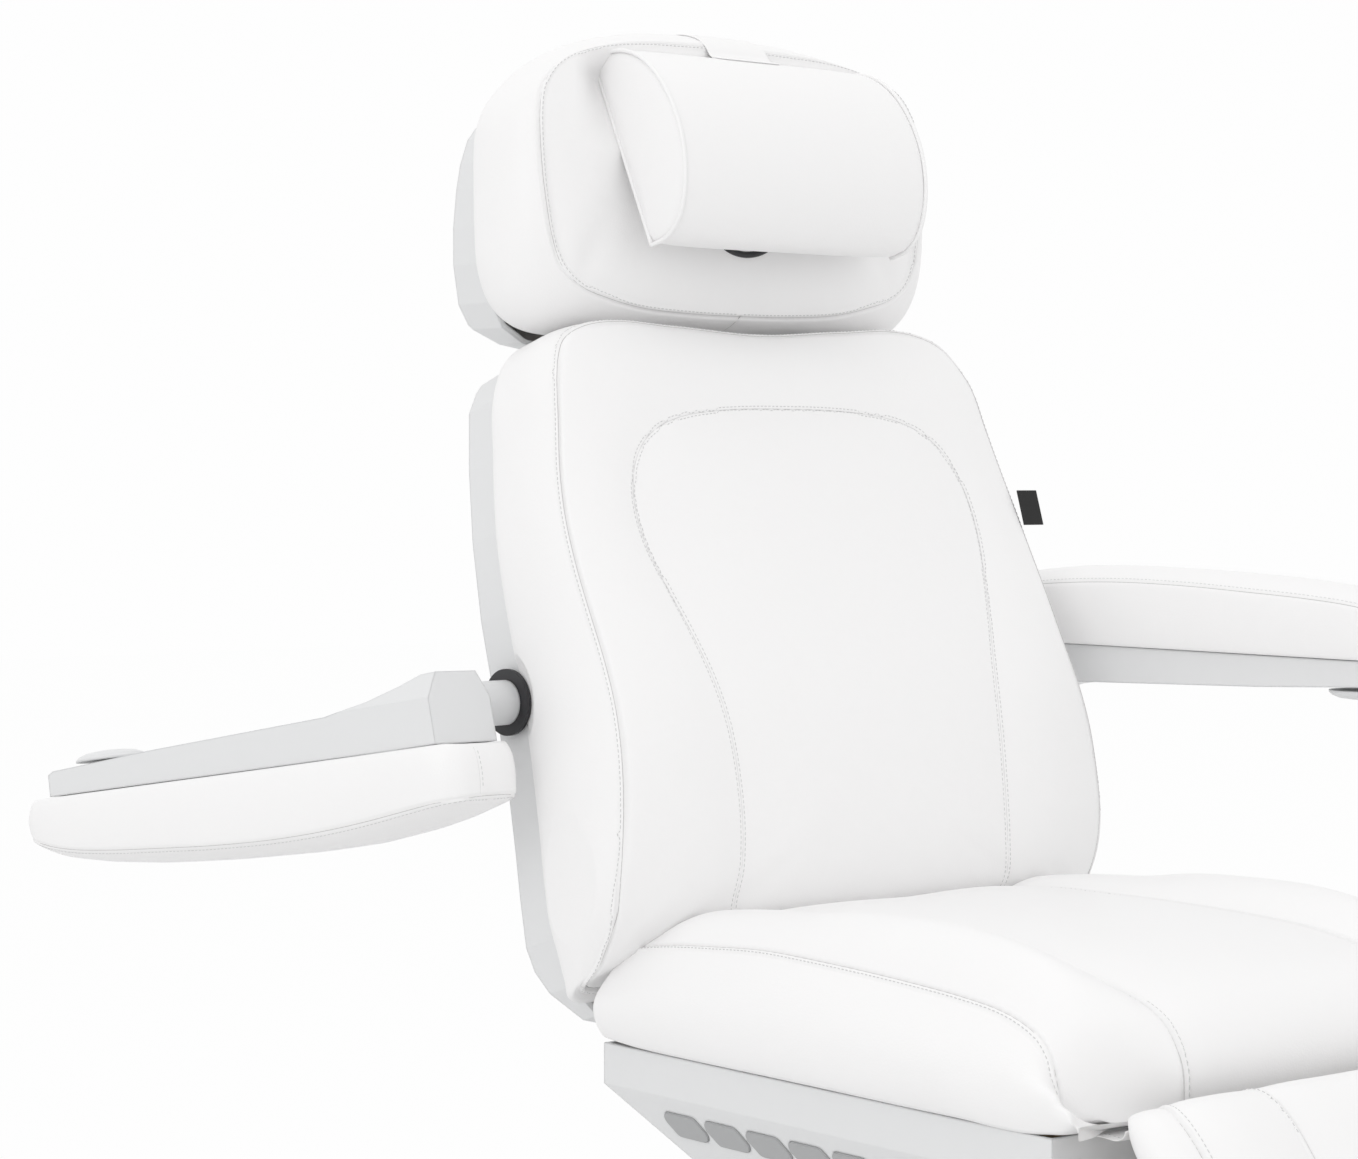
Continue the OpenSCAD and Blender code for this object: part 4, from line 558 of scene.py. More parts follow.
def seam(body, o, line, matrix, side, valley=0.0018, welt=0.0011, row=0.0062, double=False, soft=False):
    """Shapes a topstitched seam: a sharp valley, a raised welt beside it and a stitch row at the welt's far edge. A
    grey tube along the valley's floor is painted shade, a dark line standing for the seam's shadow.
    """
    pts, normals = surface_line(o, line, matrix)
    rows = [(0.0, -valley, 0.0013)]
    for s in ((side, -side) if double else (side,)):
        if s:
            rows += [(0.5 * row * s, welt, 0.0019), (row * s, -0.0005, 0.0012)]
    co = coords(o)
    nrm = np.empty(len(co) * 3)
    o.data.vertices.foreach_get("normal", nrm)
    nrm = nrm.reshape(-1, 3)
    move = np.zeros(len(co))
    for shift, height, width in rows:
        at = offset_line(o, pts, normals, shift)[0] if shift else pts
        move += height * np.exp(-(reach(co, at) / width) ** 2)
    set_coords(o, co + nrm * move[:, None])
    deep, up = surface_line(o, line, matrix)
    # the tube along the valley's floor is painted shade: a grey line standing for the shadow in the seam
    store = (FOLD_SHADE_TUBES if soft else SEAM_SHADE_TUBES).setdefault(body, ([], []))
    thread_tube(store, settle(deep - up * 0.0001), 0.0003 if soft else 0.0004)
    for s in ((side, -side) if double else (side,)):
        if s:
            stitches(body, o, line, matrix, row * s * 0.93)


def stitches(body, o, line, matrix, side, pitch=0.0045, length=0.0030, radius=0.00042):
    """A row of short threads beside a seam, sunk a little into the cover."""
    pts, normals = surface_line(o, line, matrix)
    pts, normals = offset_line(o, pts, normals, side)
    run = np.concatenate([[0], np.cumsum(np.linalg.norm(np.diff(pts, axis=0), axis=1))])
    verts, faces = STITCHES.setdefault(body, ([], []))
    for s in np.arange(pitch, run[-1] - pitch, pitch):
        a = np.array([np.interp(s - length / 2, run, pts[:, k]) for k in range(3)])
        b = np.array([np.interp(s + length / 2, run, pts[:, k]) for k in range(3)])
        n = np.array([np.interp(s, run, normals[:, k]) for k in range(3)])
        t = b - a
        size = np.linalg.norm(t)
        if size < 1e-6:
            continue
        t /= size
        w = np.cross(n, t)
        w /= max(np.linalg.norm(w), 1e-9)
        base = len(verts)
        for share, r in ((0, 0.35), (0.2, 1), (0.8, 1), (1, 0.35)):
            c = a + (b - a) * share
            for ang in range(5):
                q = 2 * math.pi * ang / 5
                verts.append(c + radius * r * (math.cos(q) * w + math.sin(q) * n))
        for i in range(3):
            for j in range(5):
                k = (j + 1) % 5
                faces.append((base + i * 5 + j, base + i * 5 + k, base + (i + 1) * 5 + k, base + (i + 1) * 5 + j))
        faces.append(tuple(base + j for j in range(4, -1, -1)))
        faces.append(tuple(base + 15 + j for j in range(5)))


def tube(name, pts, radius, material="vinyl", sides=10, closed=False):
    """A round cord along points in the row frame, such as piping."""
    p = np.asarray(pts, float)
    n = len(p)
    if closed:
        run = np.roll(p, -1, axis=0) - np.roll(p, 1, axis=0)
    else:
        run = np.gradient(p, axis=0)
    run /= np.maximum(np.linalg.norm(run, axis=1), 1e-9)[:, None]
    side = np.cross(run[0], (0.3, 0.5, 0.81))
    rings = []
    for i in range(n):
        side = side - run[i] * np.dot(side, run[i])
        side /= max(np.linalg.norm(side), 1e-9)
        up = np.cross(run[i], side)
        turns = [2 * math.pi * k / sides for k in range(sides)]
        rings.append([p[i] + radius * (math.cos(q) * side + math.sin(q) * up) for q in turns])
    g = np.array(rings)
    verts = [Vector(v) for v in g.reshape(-1, 3)]
    faces = faces_of(n, sides, True)
    if closed:
        # the frame may have turned on its way round: join each ring point to its nearest
        off = int(np.argmin([np.linalg.norm(g[0][0] - g[-1][k]) for k in range(sides)]))
        faces += [((n - 1) * sides + (j + off) % sides, (n - 1) * sides + (j + 1 + off) % sides, (j + 1) % sides, j)
                  for j in range(sides)]
    else:
        faces.append(tuple(range(sides - 1, -1, -1)))
        faces.append(tuple((n - 1) * sides + k for k in range(sides)))
    me = bpy.data.meshes.new(name)
    me.from_pydata(verts, [], faces)
    bm = bmesh.new()
    bm.from_mesh(me)
    bmesh.ops.recalc_face_normals(bm, faces=bm.faces)
    bm.to_mesh(me)
    bm.free()
    me.materials.append(MAT[material])
    me.shade_smooth()
    o = bpy.data.objects.new(name, me)
    scene.collection.objects.link(o)
    return o


# Back cushion
def yield_to_hub(o):
    """Presses the cushion's side in a little where the washers of the arm axles sit beside it."""
    co = coords(o)
    local = to_local(co, BACK)
    hub_up, hub_out = 188.5, -14.5
    flat, give = 268.5, 24      # half width at the washer, and how much wider it may get away from it
    rim, fade = 32, 26          # where it starts to, from the axle, and over what distance
    d = np.hypot(local[:, 1] - hub_up, local[:, 2] - hub_out)
    limit = flat + give * np.clip((d - rim) / fade, 0, 1) ** 1.5
    local[:, 0] = np.clip(local[:, 0], -limit, limit)
    set_coords(o, world_line(local, BACK))


def back_cushion():
    # seam: height along the back, half width, distance out of the rear face
    seam_side = [(-57, 277, 52), (-46, 279, 67), (-30, 281, 87), (-8, 284, 103), (26, 283.5, 119), (65, 280, 129),
                 (105, 277, 135), (147, 274, 135), (190, 272, 129), (235, 272, 121), (279, 271, 113), (323, 268, 107),
                 (365, 262, 104), (407, 254, 104), (449, 246, 104), (471, 237, 100), (485, 228, 98)]
    top = [(496, 208, 97), (501, 184, 97), (499, 100, 96), (493, 0, 96)]
    low = [(-66, 0, 20), (-66, 120, 20), (-67, 200, 20), (-67, 272, 22), (-64, 277, 36)]
    edge = [(w, h, n) for h, w, n in low + seam_side + top]

    def bulged(out, depth_share, top_out=4.0, drop=0.0):
        rows = []
        for w, h, n in edge:
            s = min(1.0, w / 200.0)
            up = max(0.0, min(1.0, (h - 440) / 60.0))
            down = max(0.0, min(1.0, (-20 - h) / 30.0))
            rows.append((w + out * s * (1 - 0.5 * up) * (1 - 0.3 * down), h + top_out * up - drop * down,
                         n * depth_share))
        return whole(rows)

    rear = [(w - 3 * min(1.0, w / 200.0), min(h, 486) if h > 0 else max(h - 12, -73), 0.6) for w, h, n in edge]
    rings = [whole(rear), bulged(8, 0.12, 4, 8), bulged(11, 0.42, 6, 7), bulged(9.5, 0.72, 5, 4), whole(edge)]
    n = 232
    side = patch(rings, 14, n, closed=True)
    seam_loop = side[-1]
    panel = [(160.6, -29, 0), (157.7, 8.5, 0), (156.3, 47.5, 0), (157.4, 87, 0), (160.4, 128, 0), (167, 169, 0),
             (178, 212, 0), (190, 255, 0), (199, 299, 0), (197.5, 338, 0), (189, 364, 0), (172, 387, 0),
             (148, 402, 0), (122, 410, 0), (90, 414.5, 0), (50, 417, 0), (0, 417.5, 0)]
    panel = [(0, -46, 0), (80, -46, 0), (130, -45, 0), (154, -40, 0)] + panel
    hs = [-66, -57, -48, -29, 8.5, 47.5, 87, 128, 169, 212, 255, 299, 341, 385, 421, 460, 500, 512]
    mid = [44, 54, 74, 99, 112, 121, 127, 131, 131, 129, 124.5, 120, 118, 113, 106, 102, 99, 98]
    seam_h = [p[1] for p in edge][5:-3]
    seam_n = [p[2] for p in edge][5:-3]

    def front(x, h):
        """Distance out of the rear face at a place on the front."""
        a = abs(x)
        centre = np.interp(h, hs, mid)
        rim = np.interp(h, seam_h, seam_n)
        half = np.interp(h, [-62, -46, -8, 105, 323, 449, 499], [262, 279, 284, 277, 268, 246, 205])
        k = min(1.0, a / half)
        crown = 6.0 * (1 - k ** 4) * np.interp(h, [-50, 0, 440, 500], [0, 1, 1, 0])
        return centre * (1 - k * k) + rim * k * k + crown

    panel_loop = spline(whole(panel), n, closed=True)
    panel_loop[:, 2] = [front(x, h) - 1.0 for x, h in panel_loop[:, :2]]
    mid_rows = []
    for s in (0.2, 0.5, 0.8):
        ring = seam_loop * (1 - s) + panel_loop * s
        ring[:, 2] = [front(x, h) + 3.5 * math.sin(math.pi * s) for x, h in ring[:, :2]]
        mid_rows.append(ring)
    margin = np.stack([spline(np.array([seam_loop[j]] + [r[j] for r in mid_rows] + [panel_loop[j]]), 9)
                       for j in range(n)], 1)
    inner = coons(panel_loop, 44)
    for i in range(inner.shape[0]):
        for j in range(inner.shape[1]):
            x, h = inner[i, j, :2]
            u = min(i, inner.shape[0] - 1 - i, j, inner.shape[1] - 1 - j) / 4.0
            if u > 0:
                inner[i, j, 2] = front(x, h) + 3.0 * (1 - math.exp(-u)) - 1.0
    rear_cap = coons(side[0], 50)
    o = piece("back_cover", [(side, True), (margin, True), (inner, False), (rear_cap, False)], BACK)
    lines = [np.vstack([seam_loop, seam_loop[:1]]), np.vstack([panel_loop, panel_loop[:1]])]
    co = coords(o)
    held = (near(co, lines, BACK) < ON_SEAM) | (near(co, [rear_cap.reshape(-1, 3)], BACK) < ON_SEAM)
    puff(o, held, 0.006, pressure=3.0)
    refine(o)
    refine(o)
    yield_to_hub(o)
    seam("back", o, dense(lines[0]), BACK, -1)
    seam("back", o, dense(lines[1]), BACK, 1, welt=0.0006, row=0.0028, double=True, soft=True)
    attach(o, "back")
    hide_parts("back_cushion")


# Seat cushion
def seat_cushion():
    # forward, up at the reference line's axes
    outer = [(-41, -25), (8, -17), (74, -11), (138, -7), (199, -8), (257, -10), (315, -13), (370, -17), (408, -22),
             (434, -30), (452, -41), (460, -54), (465, -75), (468, -101)]
    crest = [(-44, -40), (-20, -16), (-2, 0), (45, 10), (91, 15), (141, 19), (190, 26), (241, 29), (363, 24),
             (420, 10), (452, -8), (474, -30), (482, -62), (484, -101)]
    inner = [(-44, -50), (-20, -24), (2, -6), (62, 4), (149, 6), (209, 6), (266, 5), (322, 3), (375, -1), (419, -9),
             (454, -16), (486, -31), (503, -58), (504, -101)]
    centre = [(-44, -52), (-20, -26), (2, -6), (62, 5), (149, 8), (209, 9), (266, 9), (322, 8), (375, 5), (424, -1),
              (462, -10), (490, -27), (504, -56), (504.5, -101)]
    outer = spline(outer, 34)
    crest = spline(crest, 34)
    inner = spline(inner, 34)
    centre = spline(centre, 34)

    def row(u, line):
        return [(u, z, v) for v, z in line]

    def across(a, b, share, lift):
        return [(pa[0] * (1 - share) + pb[0] * share, (pa[1] * (1 - share) + pb[1] * share) + lift,
                 pa[2] * (1 - share) + pb[2] * share) for pa, pb in zip(a, b)]

    o_row, c_row, i_row, m_row = row(245, outer), row(206, crest), row(155, inner), row(0, centre)
    s1 = across(o_row, c_row, 0.5, 6)
    s2 = across(c_row, i_row, 0.55, 4)
    bolster = np.array([o_row, s1, c_row, s2, i_row])
    q1 = across(i_row, m_row, 0.18, 2.5)
    q2 = across(i_row, m_row, 0.5, 3.0)
    middle = np.array([i_row, q1, q2, m_row])
    n_len = 78
    bol = patch(bolster, 14, n_len)
    half = patch(middle, 18, n_len)
    flip = np.array([-1.0, 1.0, 1.0])
    # boxing: from the seam, out over the bulge and in to the bottom edge
    bottom = spline([(-38, -101.5), (-8, -103.6), (60, -104.2), (200, -104.2), (380, -104.2), (470, -103),
                     (494, -97), (499, -92)], 34)
    wide = spline([(-46, -72), (60, -62), (200, -60), (380, -62), (460, -66), (486, -72), (494, -80)], 34)
    b_row = row(268, bottom)
    w_row = row(279, wide)
    for k, r in enumerate(b_row):
        f = max(0.0, (k - 28) / 6.0)
        b_row[k] = (r[0] - 8 * f, r[1], r[2])
        f2 = max(0.0, (k - 26) / 8.0)
        w_row[k] = (w_row[k][0] - 14 * f2, w_row[k][1], w_row[k][2])
    u_row = across(o_row, w_row, 0.5, 5)
    l_row = across(w_row, b_row, 0.55, -2)
    l_row = [(p[0] + 3, p[1], p[2]) for p in l_row]
    box = patch(np.array([o_row, u_row, w_row, l_row, b_row]), 14, n_len)
    # underside, rear and front closing strips
    left_bottom = box[-1]
    lowest = -104.2
    level = np.clip((left_bottom[:, 2] + 38) / 98, 0, 1)
    # the rear of the underside rises between the sides, where the back's frame comes past
    floor_rows = np.stack([np.stack([left_bottom[:, 0] * s,
                                     left_bottom[:, 1] - (left_bottom[:, 1] - lowest) * level * (1 - abs(s))
                                     + 10 * (1 - level) ** 2 * min(1.0, 16 * (1 - abs(s))),
                                     left_bottom[:, 2]], 1) for s in np.linspace(1, -1, 30)])
    top_profile = [section_of(box, bol, half, flip, j) for j in (0, -1)]
    caps = []
    for prof, foot in zip(top_profile, (-92.0, -103.0)):
        n = len(prof)
        base = np.stack([np.linspace(prof[0, 0], prof[-1, 0], n), np.full(n, foot), prof[:, 2].copy()], 1)
        base[:, 1] = np.minimum(prof[:, 1], foot)
        caps.append(np.stack([prof * (1 - s) + base * s for s in np.linspace(0, 1, 6)]))
    sheets = [bol, bol * flip, half, half * flip, box, box * flip, floor_rows] + caps
    o = piece("seat_cover", [(g, False) for g in sheets], SEAT)
    lines = []
    for sgn in (1, -1):
        f = np.array([sgn, 1, 1])
        lines += [bol[0] * f, bol[-1][4:] * f]
    co = coords(o)
    local = to_local(co, SEAT)
    held = (near(co, lines, SEAT) < ON_SEAM) | (local[:, 1] < -98) | (local[:, 2] < -20)
    held |= (local[:, 2] > 496) & (local[:, 1] < -40)
    puff(o, held, 0.005, pressure=3.0)
    refine(o)
    refine(o)
    fine = [dense(l) for l in lines]
    for i, l in enumerate(fine):
        seam("seat", o, l, SEAT, 1 if i in (0, 3) else -1, soft=i in (1, 3))
    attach(o, "seat")
    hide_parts("seat_cushion")


# Headrest
PILLOW_LEAN = 26


def press_face(o):
    """Presses the face in where the pillow's flat rear lies against it."""
    co = coords(o)
    local = to_local(co, HEAD)
    x, h, f = local.T
    a = np.clip((190 - np.abs(x)) / 44, 0, 1)
    b = np.clip((258 - h) / 33, 0, 1)
    share = a * a * (3 - 2 * a) * b * b * (3 - 2 * b)
    rear = 130 - (h - 75) * math.tan(math.radians(PILLOW_LEAN))
    local[:, 2] = f - share * np.maximum(0, f - rear)
    set_coords(o, world_line(local, HEAD))


def head_cushion():
    # half width, height over the head's origin, forward. Seam of the face.
    edge = [(0, 19, 82), (62, 20, 82), (124, 25, 82), (160, 33, 83), (186, 41, 84), (207, 57, 85), (218, 80, 86),
            (224, 110, 85.5), (227, 140, 83), (228, 171, 80), (227, 197, 78), (223, 216, 77), (210, 234, 76),
            (186, 248, 75), (157, 257, 74), (119, 263, 74), (60, 266, 74), (0, 267, 74)]
    # the widest outline of the boxing
    wide = [(0, 5), (62, 4), (124, 2), (160, 1), (190, 1), (216, 8), (236, 24), (247, 50), (250.5, 90), (251, 130),
            (251, 160), (249, 184), (241.5, 202.5), (226, 221), (203, 239.5), (160, 261), (100, 275), (0, 279)]

    def ring(share, fwd, inset=0.0):
        rows = []
        for (w, h, f), (u, v) in zip(edge, wide):
            k = min(1.0, u / 60.0)
            rows.append((w * (1 - share) + (u - inset * k) * share,
                         h * (1 - share) + (v + (inset if v < 140 else -inset)) * share, f * fwd))
        return whole(rows)

    n = 168
    rings = [ring(1, 0.006, 9), ring(1, 0.12, 3), ring(1, 0.34), ring(0.93, 0.55), ring(0.62, 0.8), ring(0, 1)]
    side = patch(rings, 12, n, closed=True)
    loop = side[-1]
    face = coons(loop, 56)
    for i in range(face.shape[0]):
        for j in range(face.shape[1]):
            u = min(i, face.shape[0] - 1 - i, j, face.shape[1] - 1 - j)
            if u > 0:
                x, h, f = face[i, j]
                edge = 76 + 9 * max(0.0, min(1.0, (140 - h) / 120.0))
                r = max(abs(x) / 228.0, abs(h - 143) / 124.0)
                dip = -5.0 * math.exp(-((x / 115.0) ** 2 + ((h - 165) / 75.0) ** 2))
                face[i, j, 2] = edge + (1 - r ** 3) * 11.0 * (1 - math.exp(-u / 2.5)) + dip
    rear_cap = coons(side[0], 56)
    o = piece("head_cover", [(side, True), (face, False), (rear_cap, False)], HEAD)
    line = np.vstack([loop, loop[:1]])
    crease = np.array([side[k][0] for k in range(len(side))])
    co = coords(o)
    held = (near(co, [line], HEAD) < ON_SEAM) | (near(co, [rear_cap.reshape(-1, 3)], HEAD) < ON_SEAM)
    puff(o, held, 0.005, pressure=3.0)
    refine(o)
    refine(o)
    press_face(o)
    seam("head", o, dense(line), HEAD, 1)
    seam("head", o, dense(crease[3:]), HEAD, 0, valley=0.0014)
    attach(o, "head")
    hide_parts("head_cushion", "face_plug")
    return o


def face_ring(o):
    """The rim of the face opening, of which the pillow leaves a short arc in view."""
    pts = []
    for k in range(72):
        a = 2 * math.pi * k / 72
        p = Vector((55 * math.cos(a), 132.5 + 55 * math.sin(a), 82)) * MM
        _, at, nrm, _ = o.closest_point_on_mesh(HEAD @ p)
        pts.append(np.array(at) + np.array(nrm) * 0.0002)
    ring = tube("face_rim", pts, 0.003, "black", 10, closed=True)
    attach(ring, "head")


PILLOW = HEAD @ Matrix.Translation((0, 0.075, 0.131)) @ rot_x(-PILLOW_LEAN)


def neck_pillow():
    half, wide, deep = 143, 190, 82
    shares = [(0, 0), (-0.02, 0.28), (0.007, 0.51), (0.1, 0.74), (0.24, 0.91), (0.4, 0.99), (0.58, 0.97),
              (0.77, 0.83), (0.895, 0.62), (0.975, 0.35), (1.005, 0.14), (1, 0)]
    front = spline([(0, s[0] * wide, s[1] * deep) for s in shares], 30)
    back = spline([(0, wide * k, 0) for k in (1, 0.75, 0.5, 0.25, 0)], 14)
    ring = np.vstack([front, back[1:-1]])

    def section(x, size, sag=0.0):
        c = np.array([0, 95, 32])
        r = c + (ring - c) * size
        r[:, 0] = x
        r[:, 1] -= sag
        return r

    xs = np.linspace(-half, half, 37)
    body = []
    for x in xs:
        k = abs(x) / half
        body.append(section(x, 1 - 0.022 * k ** 6))
    body = np.array(body)
    ends = []
    for sgn in (-1, 1):
        end = body[0 if sgn < 0 else -1]
        c = np.array([0, 91, 30.0])
        rows = []
        for s in (0, 0.12, 0.3, 0.5, 0.7, 0.86, 1.0):
            r = end * (1 - s) + c * s
            r[:, 0] = sgn * (half + 6.0 * math.sin(min(1.0, s * 1.4) * math.pi / 2))
            rows.append(r)
        ends.append(np.array(rows))
    o = piece("pillow_cover", [(body, True), (ends[0], True), (ends[1], True)], PILLOW)
    lines = [np.vstack([body[k], body[k][:1]]) for k in (0, -1)]
    co = coords(o)
    local = to_local(co, PILLOW)
    held = (near(co, lines, PILLOW) < ON_SEAM) | (local[:, 2] < 0.6)
    puff(o, held, 0.004, pressure=3.0)
    refine(o)
    refine(o)
    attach(o, "head")
    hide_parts("neck_pillow")
    for k, l in enumerate(lines):
        pts = dense(world_line(l, PILLOW), 0.003)
        pipe = tube("pillow_piping_%d" % (k + 1), pts[:-1], 0.0019, closed=True)
        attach(pipe, "head")
    return o


def top_of(o, x, fwd):
    """Height of the piece's top over a place, in the head's frame."""
    at = HEAD @ (Vector((x, 330, fwd)) * MM)
    down = (HEAD.to_3x3() @ Vector((0, -1, 0))).normalized()
    hit, where, _, _ = o.ray_cast(at, down)
    return (HEAD.inverted() @ where).y * 1000 if hit else 0.0


def pillow_strap(cushion, pillow):
    xs = np.linspace(-36, 36, 25)
    outer, inner = [], []
    for x in xs:
        over = [(f, top_of(cushion, x, f) + 1.6) for f in (6, 14, 24, 36, 48, 58, 66)]
        on = [(f, top_of(pillow, x, f) + 1.6) for f in (84, 92, 98)]
        path = [(-4.5, 248), (-3.5, over[0][1] - 10)] + over + [(75, 0.5 * (over[-1][1] + on[0][1]) + 2)] + on
        path = spline([(x, u, f) for f, u in path], 40)
        run = np.gradient(path, axis=0)
        nrm = np.stack([np.zeros(len(run)), run[:, 2], -run[:, 1]], 1)
        nrm /= np.linalg.norm(nrm, axis=1)[:, None]
        outer.append(path)
        inner.append(path - nrm * 1.4)
    a, b = np.array(outer), np.array(inner)
    o = piece("strap_cover", thick(a, b), HEAD)
    refine(o)
    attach(o, "head")
    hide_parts("pillow_strap")


# Arm pads
def arm_pad(side, swing, name):
    # heights along the arm of the seam, the crown and the base, and the plan from its rear end to its tip
    m = arm_frame(side, swing)
    centre, middle = 99, 212
    seam_t = [(-50, 82), (-44, 83), (-30, 84), (0, 87), (49, 92), (110, 96.5), (170, 97), (231, 95), (291, 91),
              (360, 86), (412, 80), (435, 75), (462, 66), (474, 60)]
    crown_t = [(-50, 85), (-44, 88), (-32, 92), (-12, 98), (20, 103.5), (80, 109), (140, 109.5), (241, 106.5),
               (326, 101.5), (387, 95), (435, 87), (462, 76), (474, 63)]
    base_t = [(-50, 37), (-44, 35.2), (-36, 34.9), (21, 34.6), (173, 32.8), (434, 29.3), (462, 30.3), (474, 37)]
    plan = [(0, -50), (20, -50), (34, -47.5), (43, -40), (48, -27), (50, -6), (50, 60), (50, 150), (50, 240),
            (49.5, 300), (48.5, 360), (47.5, 410), (46, 440), (42, 460), (34, 469), (20, 473.5), (0, 474)]

    def loft(line):
        rows = [(x, np.interp(v, [q[0] for q in line], [q[1] for q in line]), v) for x, v in plan]
        return [(centre + x, t, v) for x, t, v in rows + [(-x, t, v) for x, t, v in rows[-2:0:-1]]]

    edge = loft(seam_t)
    low = [(centre + (p[0] - centre) * 0.95, np.interp(p[2], [q[0] for q in base_t], [q[1] for q in base_t]),
            middle + (p[2] - middle) * 0.985) for p in edge]
    bulge1 = [(p[0], b[1] + 6, (p[2] + b[2]) / 2 + (p[2] - b[2]) * 0.2) for p, b in zip(edge, low)]
    bulge2 = [(centre + (p[0] - centre) * 1.03, p[1] * 0.5 + b[1] * 0.5,
               p[2] + (1.5 if p[2] > 440 else -1.5 if p[2] < -25 else 0)) for p, b in zip(edge, low)]
    n = 148
    wall = patch([low, bulge1, bulge2, edge], 9, n, closed=True)
    loop = wall[-1]
    top = coons(loop, 10)
    cs, ct = [p[0] for p in crown_t], [p[1] for p in crown_t]
    for i in range(top.shape[0]):
        for j in range(top.shape[1]):
            u = min(i, top.shape[0] - 1 - i, j, top.shape[1] - 1 - j)
            if u > 0:
                x, t, s = top[i, j]
                k = min(1.0, abs(x - centre) / 50.0)
                rim = np.interp(s, [p[0] for p in seam_t], [p[1] for p in seam_t])
                mid = np.interp(s, cs, ct)
                top[i, j, 1] = rim + (mid - rim) * (1 - k ** 2.6)
    bottom = coons(wall[0], 10)
    o = piece(name + "_pad_cover", [(wall, True), (top, False), (bottom, False)], m)
    line = np.vstack([loop, loop[:1]])
    # upright joint of the boxing at the rear end
    joint = np.array([(114, t, -51) for t in np.linspace(39, 80, 32)])
    co = coords(o)
    held = (near(co, [line], m) < ON_SEAM) | (near(co, [bottom.reshape(-1, 3)], m) < ON_SEAM)
    puff(o, held, 0.003, pressure=3.0)
    refine(o)
    refine(o)
    seam(name + "_arm", o, dense(line), m, -1 if side > 0 else 1, valley=0.0013, welt=0.0007, row=0.0045)
    seam(name + "_arm", o, dense(joint, 1.0), m, 1, valley=0.0008, welt=0.0004, row=0.0035, soft=True)
    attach(o, name + "_arm")
    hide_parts(name + "_pad")


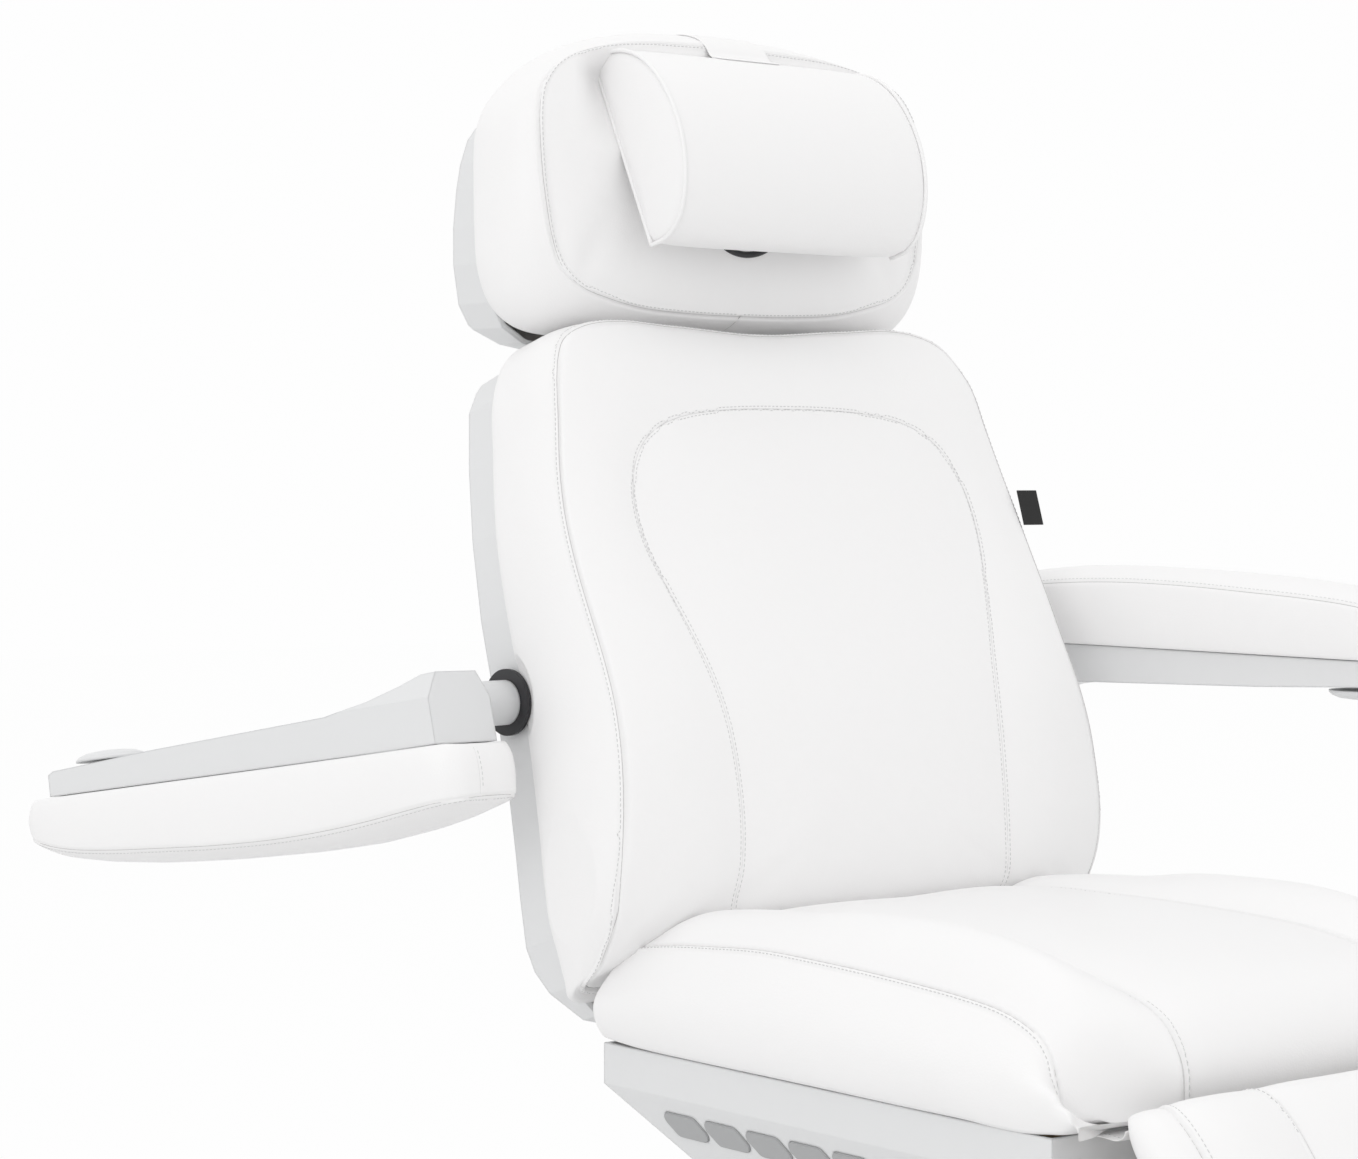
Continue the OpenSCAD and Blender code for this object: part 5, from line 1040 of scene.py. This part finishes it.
# Leg rest cushion and flap
def leg_cushion():
    # stations down the leg: place along it, half width at the seam, seam height, panel seam height, middle height
    st = [(24, 219, 26, 28, 30), (20, 226, 38, 42, 45), (10, 232, 49, 53, 57), (-8, 235, 56, 59, 64),
          (-60, 235, 58, 61, 67), (-160, 235, 58.5, 62, 68), (-260, 235, 58.5, 62, 68), (-360, 234, 57, 60, 66),
          (-402, 231, 53, 56, 61), (-424, 226, 45, 48, 52), (-436, 218, 34, 37, 40), (-440, 208, 26, 28, 30)]
    n_len = 60
    flat = 14.0     # height of the underside
    edge = [(w, y, n) for y, w, n, p, c in st]
    crest = [(w - 34, y, n + 12 * min(1.0, n / 58.0)) for y, w, n, p, c in st]
    inner = [(min(132, w - 86), y, p) for y, w, n, p, c in st]
    q1 = [(min(132, w - 86) * 0.8, y, (p + c) / 2 + 2) for y, w, n, p, c in st]
    q2 = [(min(132, w - 86) * 0.4, y, c) for y, w, n, p, c in st]
    mid = [(0, y, c) for y, w, n, p, c in st]
    wide = [(w + 27, y, n * 0.62 + 4) for y, w, n, p, c in st]
    # the upper end is cut back below, so that it clears the seat when the leg rest is raised
    low = [(w + 20, y - 4 * max(0, 1 - k / 3), 20.0 if 0 < k < len(st) - 1 else 18)
           for k, (y, w, n, p, c) in enumerate(st)]
    base = [(w - 4, y - 14.5 * max(0, 1 - k / 4), flat) for k, (y, w, n, p, c) in enumerate(st)]
    high = [((s[0] + w[0]) / 2 + 4, s[1], (s[2] + w[2]) / 2 + 4) for s, w in zip(edge, wide)]
    bol = patch([edge, [((a[0] + b[0]) / 2, a[1], (a[2] + b[2]) / 2 + 3) for a, b in zip(edge, crest)], crest,
                 [((a[0] + b[0]) / 2, a[1], (a[2] + b[2]) / 2 + 1.5) for a, b in zip(crest, inner)], inner], 12, n_len)
    half = patch([inner, q1, q2, mid], 16, n_len)
    box = patch([edge, high, wide, low, base], 12, n_len)
    flip = np.array([-1.0, 1.0, 1.0])
    under = np.stack([box[-1] * np.array([s, 1, 1]) for s in np.linspace(1, -1, 30)])
    caps = []
    for j in (0, -1):
        prof = section_of(box, bol, half, flip, j)
        k = len(prof)
        foot = np.stack([np.linspace(prof[0, 0], prof[-1, 0], k), prof[:, 1], np.full(k, flat)], 1)
        rows = []
        for s in np.linspace(0, 1, 6):
            r = prof * (1 - s) + foot * s
            r[:, 1] -= (0 if j == 0 else 5) * math.sin(math.pi * s)
            rows.append(r)
        caps.append(np.array(rows))
    sheets = [bol, bol * flip, half, half * flip, box, box * flip, under] + caps
    o = piece("leg_cover", [(g, False) for g in sheets], LEG)
    lines = []
    for sgn in (1, -1):
        f = np.array([sgn, 1, 1])
        lines += [bol[0] * f, bol[-1] * f]
    co = coords(o)
    local = to_local(co, LEG)
    held = (near(co, lines, LEG) < ON_SEAM) | (local[:, 2] < 15) | (local[:, 1] > 19)
    puff(o, held, 0.004, pressure=3.0)
    refine(o)
    refine(o)
    fine = [dense(l) for l in lines]
    for i, l in enumerate(fine):
        seam("leg_slider", o, l, LEG, -1 if i in (0, 3) else 1)
    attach(o, "leg_slider")
    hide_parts("leg_cushion")


def seat_flap():
    """The loose flap that bridges the gap between the seat and the leg rest."""
    path = spline([(0, u, v) for v, u in ((476.5, -104.9), (490, -105), (503, -105.2), (507.5, -103.4), (510, -100.4),
                                          (510.6, -97.5))], 30)
    run = np.gradient(path, axis=0)
    out = np.stack([np.zeros(len(run)), run[:, 2], -run[:, 1]], 1)
    out /= np.linalg.norm(out, axis=1)[:, None]
    xs = np.linspace(-225, 225, 91)
    share = np.linspace(0, 1, len(path))

    def side(lift):
        rows = []
        for x in xs:
            wave = 0.3 * np.sin(x * 0.05 + 2.1 * share) * np.sin(math.pi * share)
            rows.append(path + out * (lift + wave)[:, None] + np.array([x, 0, 0]))
        return np.array(rows)

    a, b = side(0.0), side(-1.4)
    o = piece("flap_cover", thick(a, b), SEAT)
    refine(o)
    for sgn in (1, -1):
        stitches("seat", o, path[3:-2] + np.array([sgn * 217, 0, 0]), SEAT, 0.0)
    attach(o, "seat")
    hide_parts("seat_flap")


back_cushion()
seat_cushion()
head = head_cushion()
face_ring(head)
pillow = neck_pillow()
pillow_strap(head, pillow)
arm_pad(-1, 189.5, "right")
arm_pad(1, 0, "left")
leg_cushion()
seat_flap()

# objects of the stitches and of the grey seam-valley tubes, the latter being painted shade lines
for store, suffix, key in ((STITCHES, "_stitches", "thread"), (SEAM_SHADE_TUBES, "_seam_shade_lines", "crease"),
                           (FOLD_SHADE_TUBES, "_fold_shade_lines", "fold_shade")):
    for body, (verts, faces) in store.items():
        me = bpy.data.meshes.new(body + suffix)
        me.from_pydata([Vector(v) for v in verts], [], faces)
        me.materials.append(MAT[key])
        me.shade_smooth()
        o = bpy.data.objects.new(body + suffix, me)
        scene.collection.objects.link(o)
        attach(o, body)
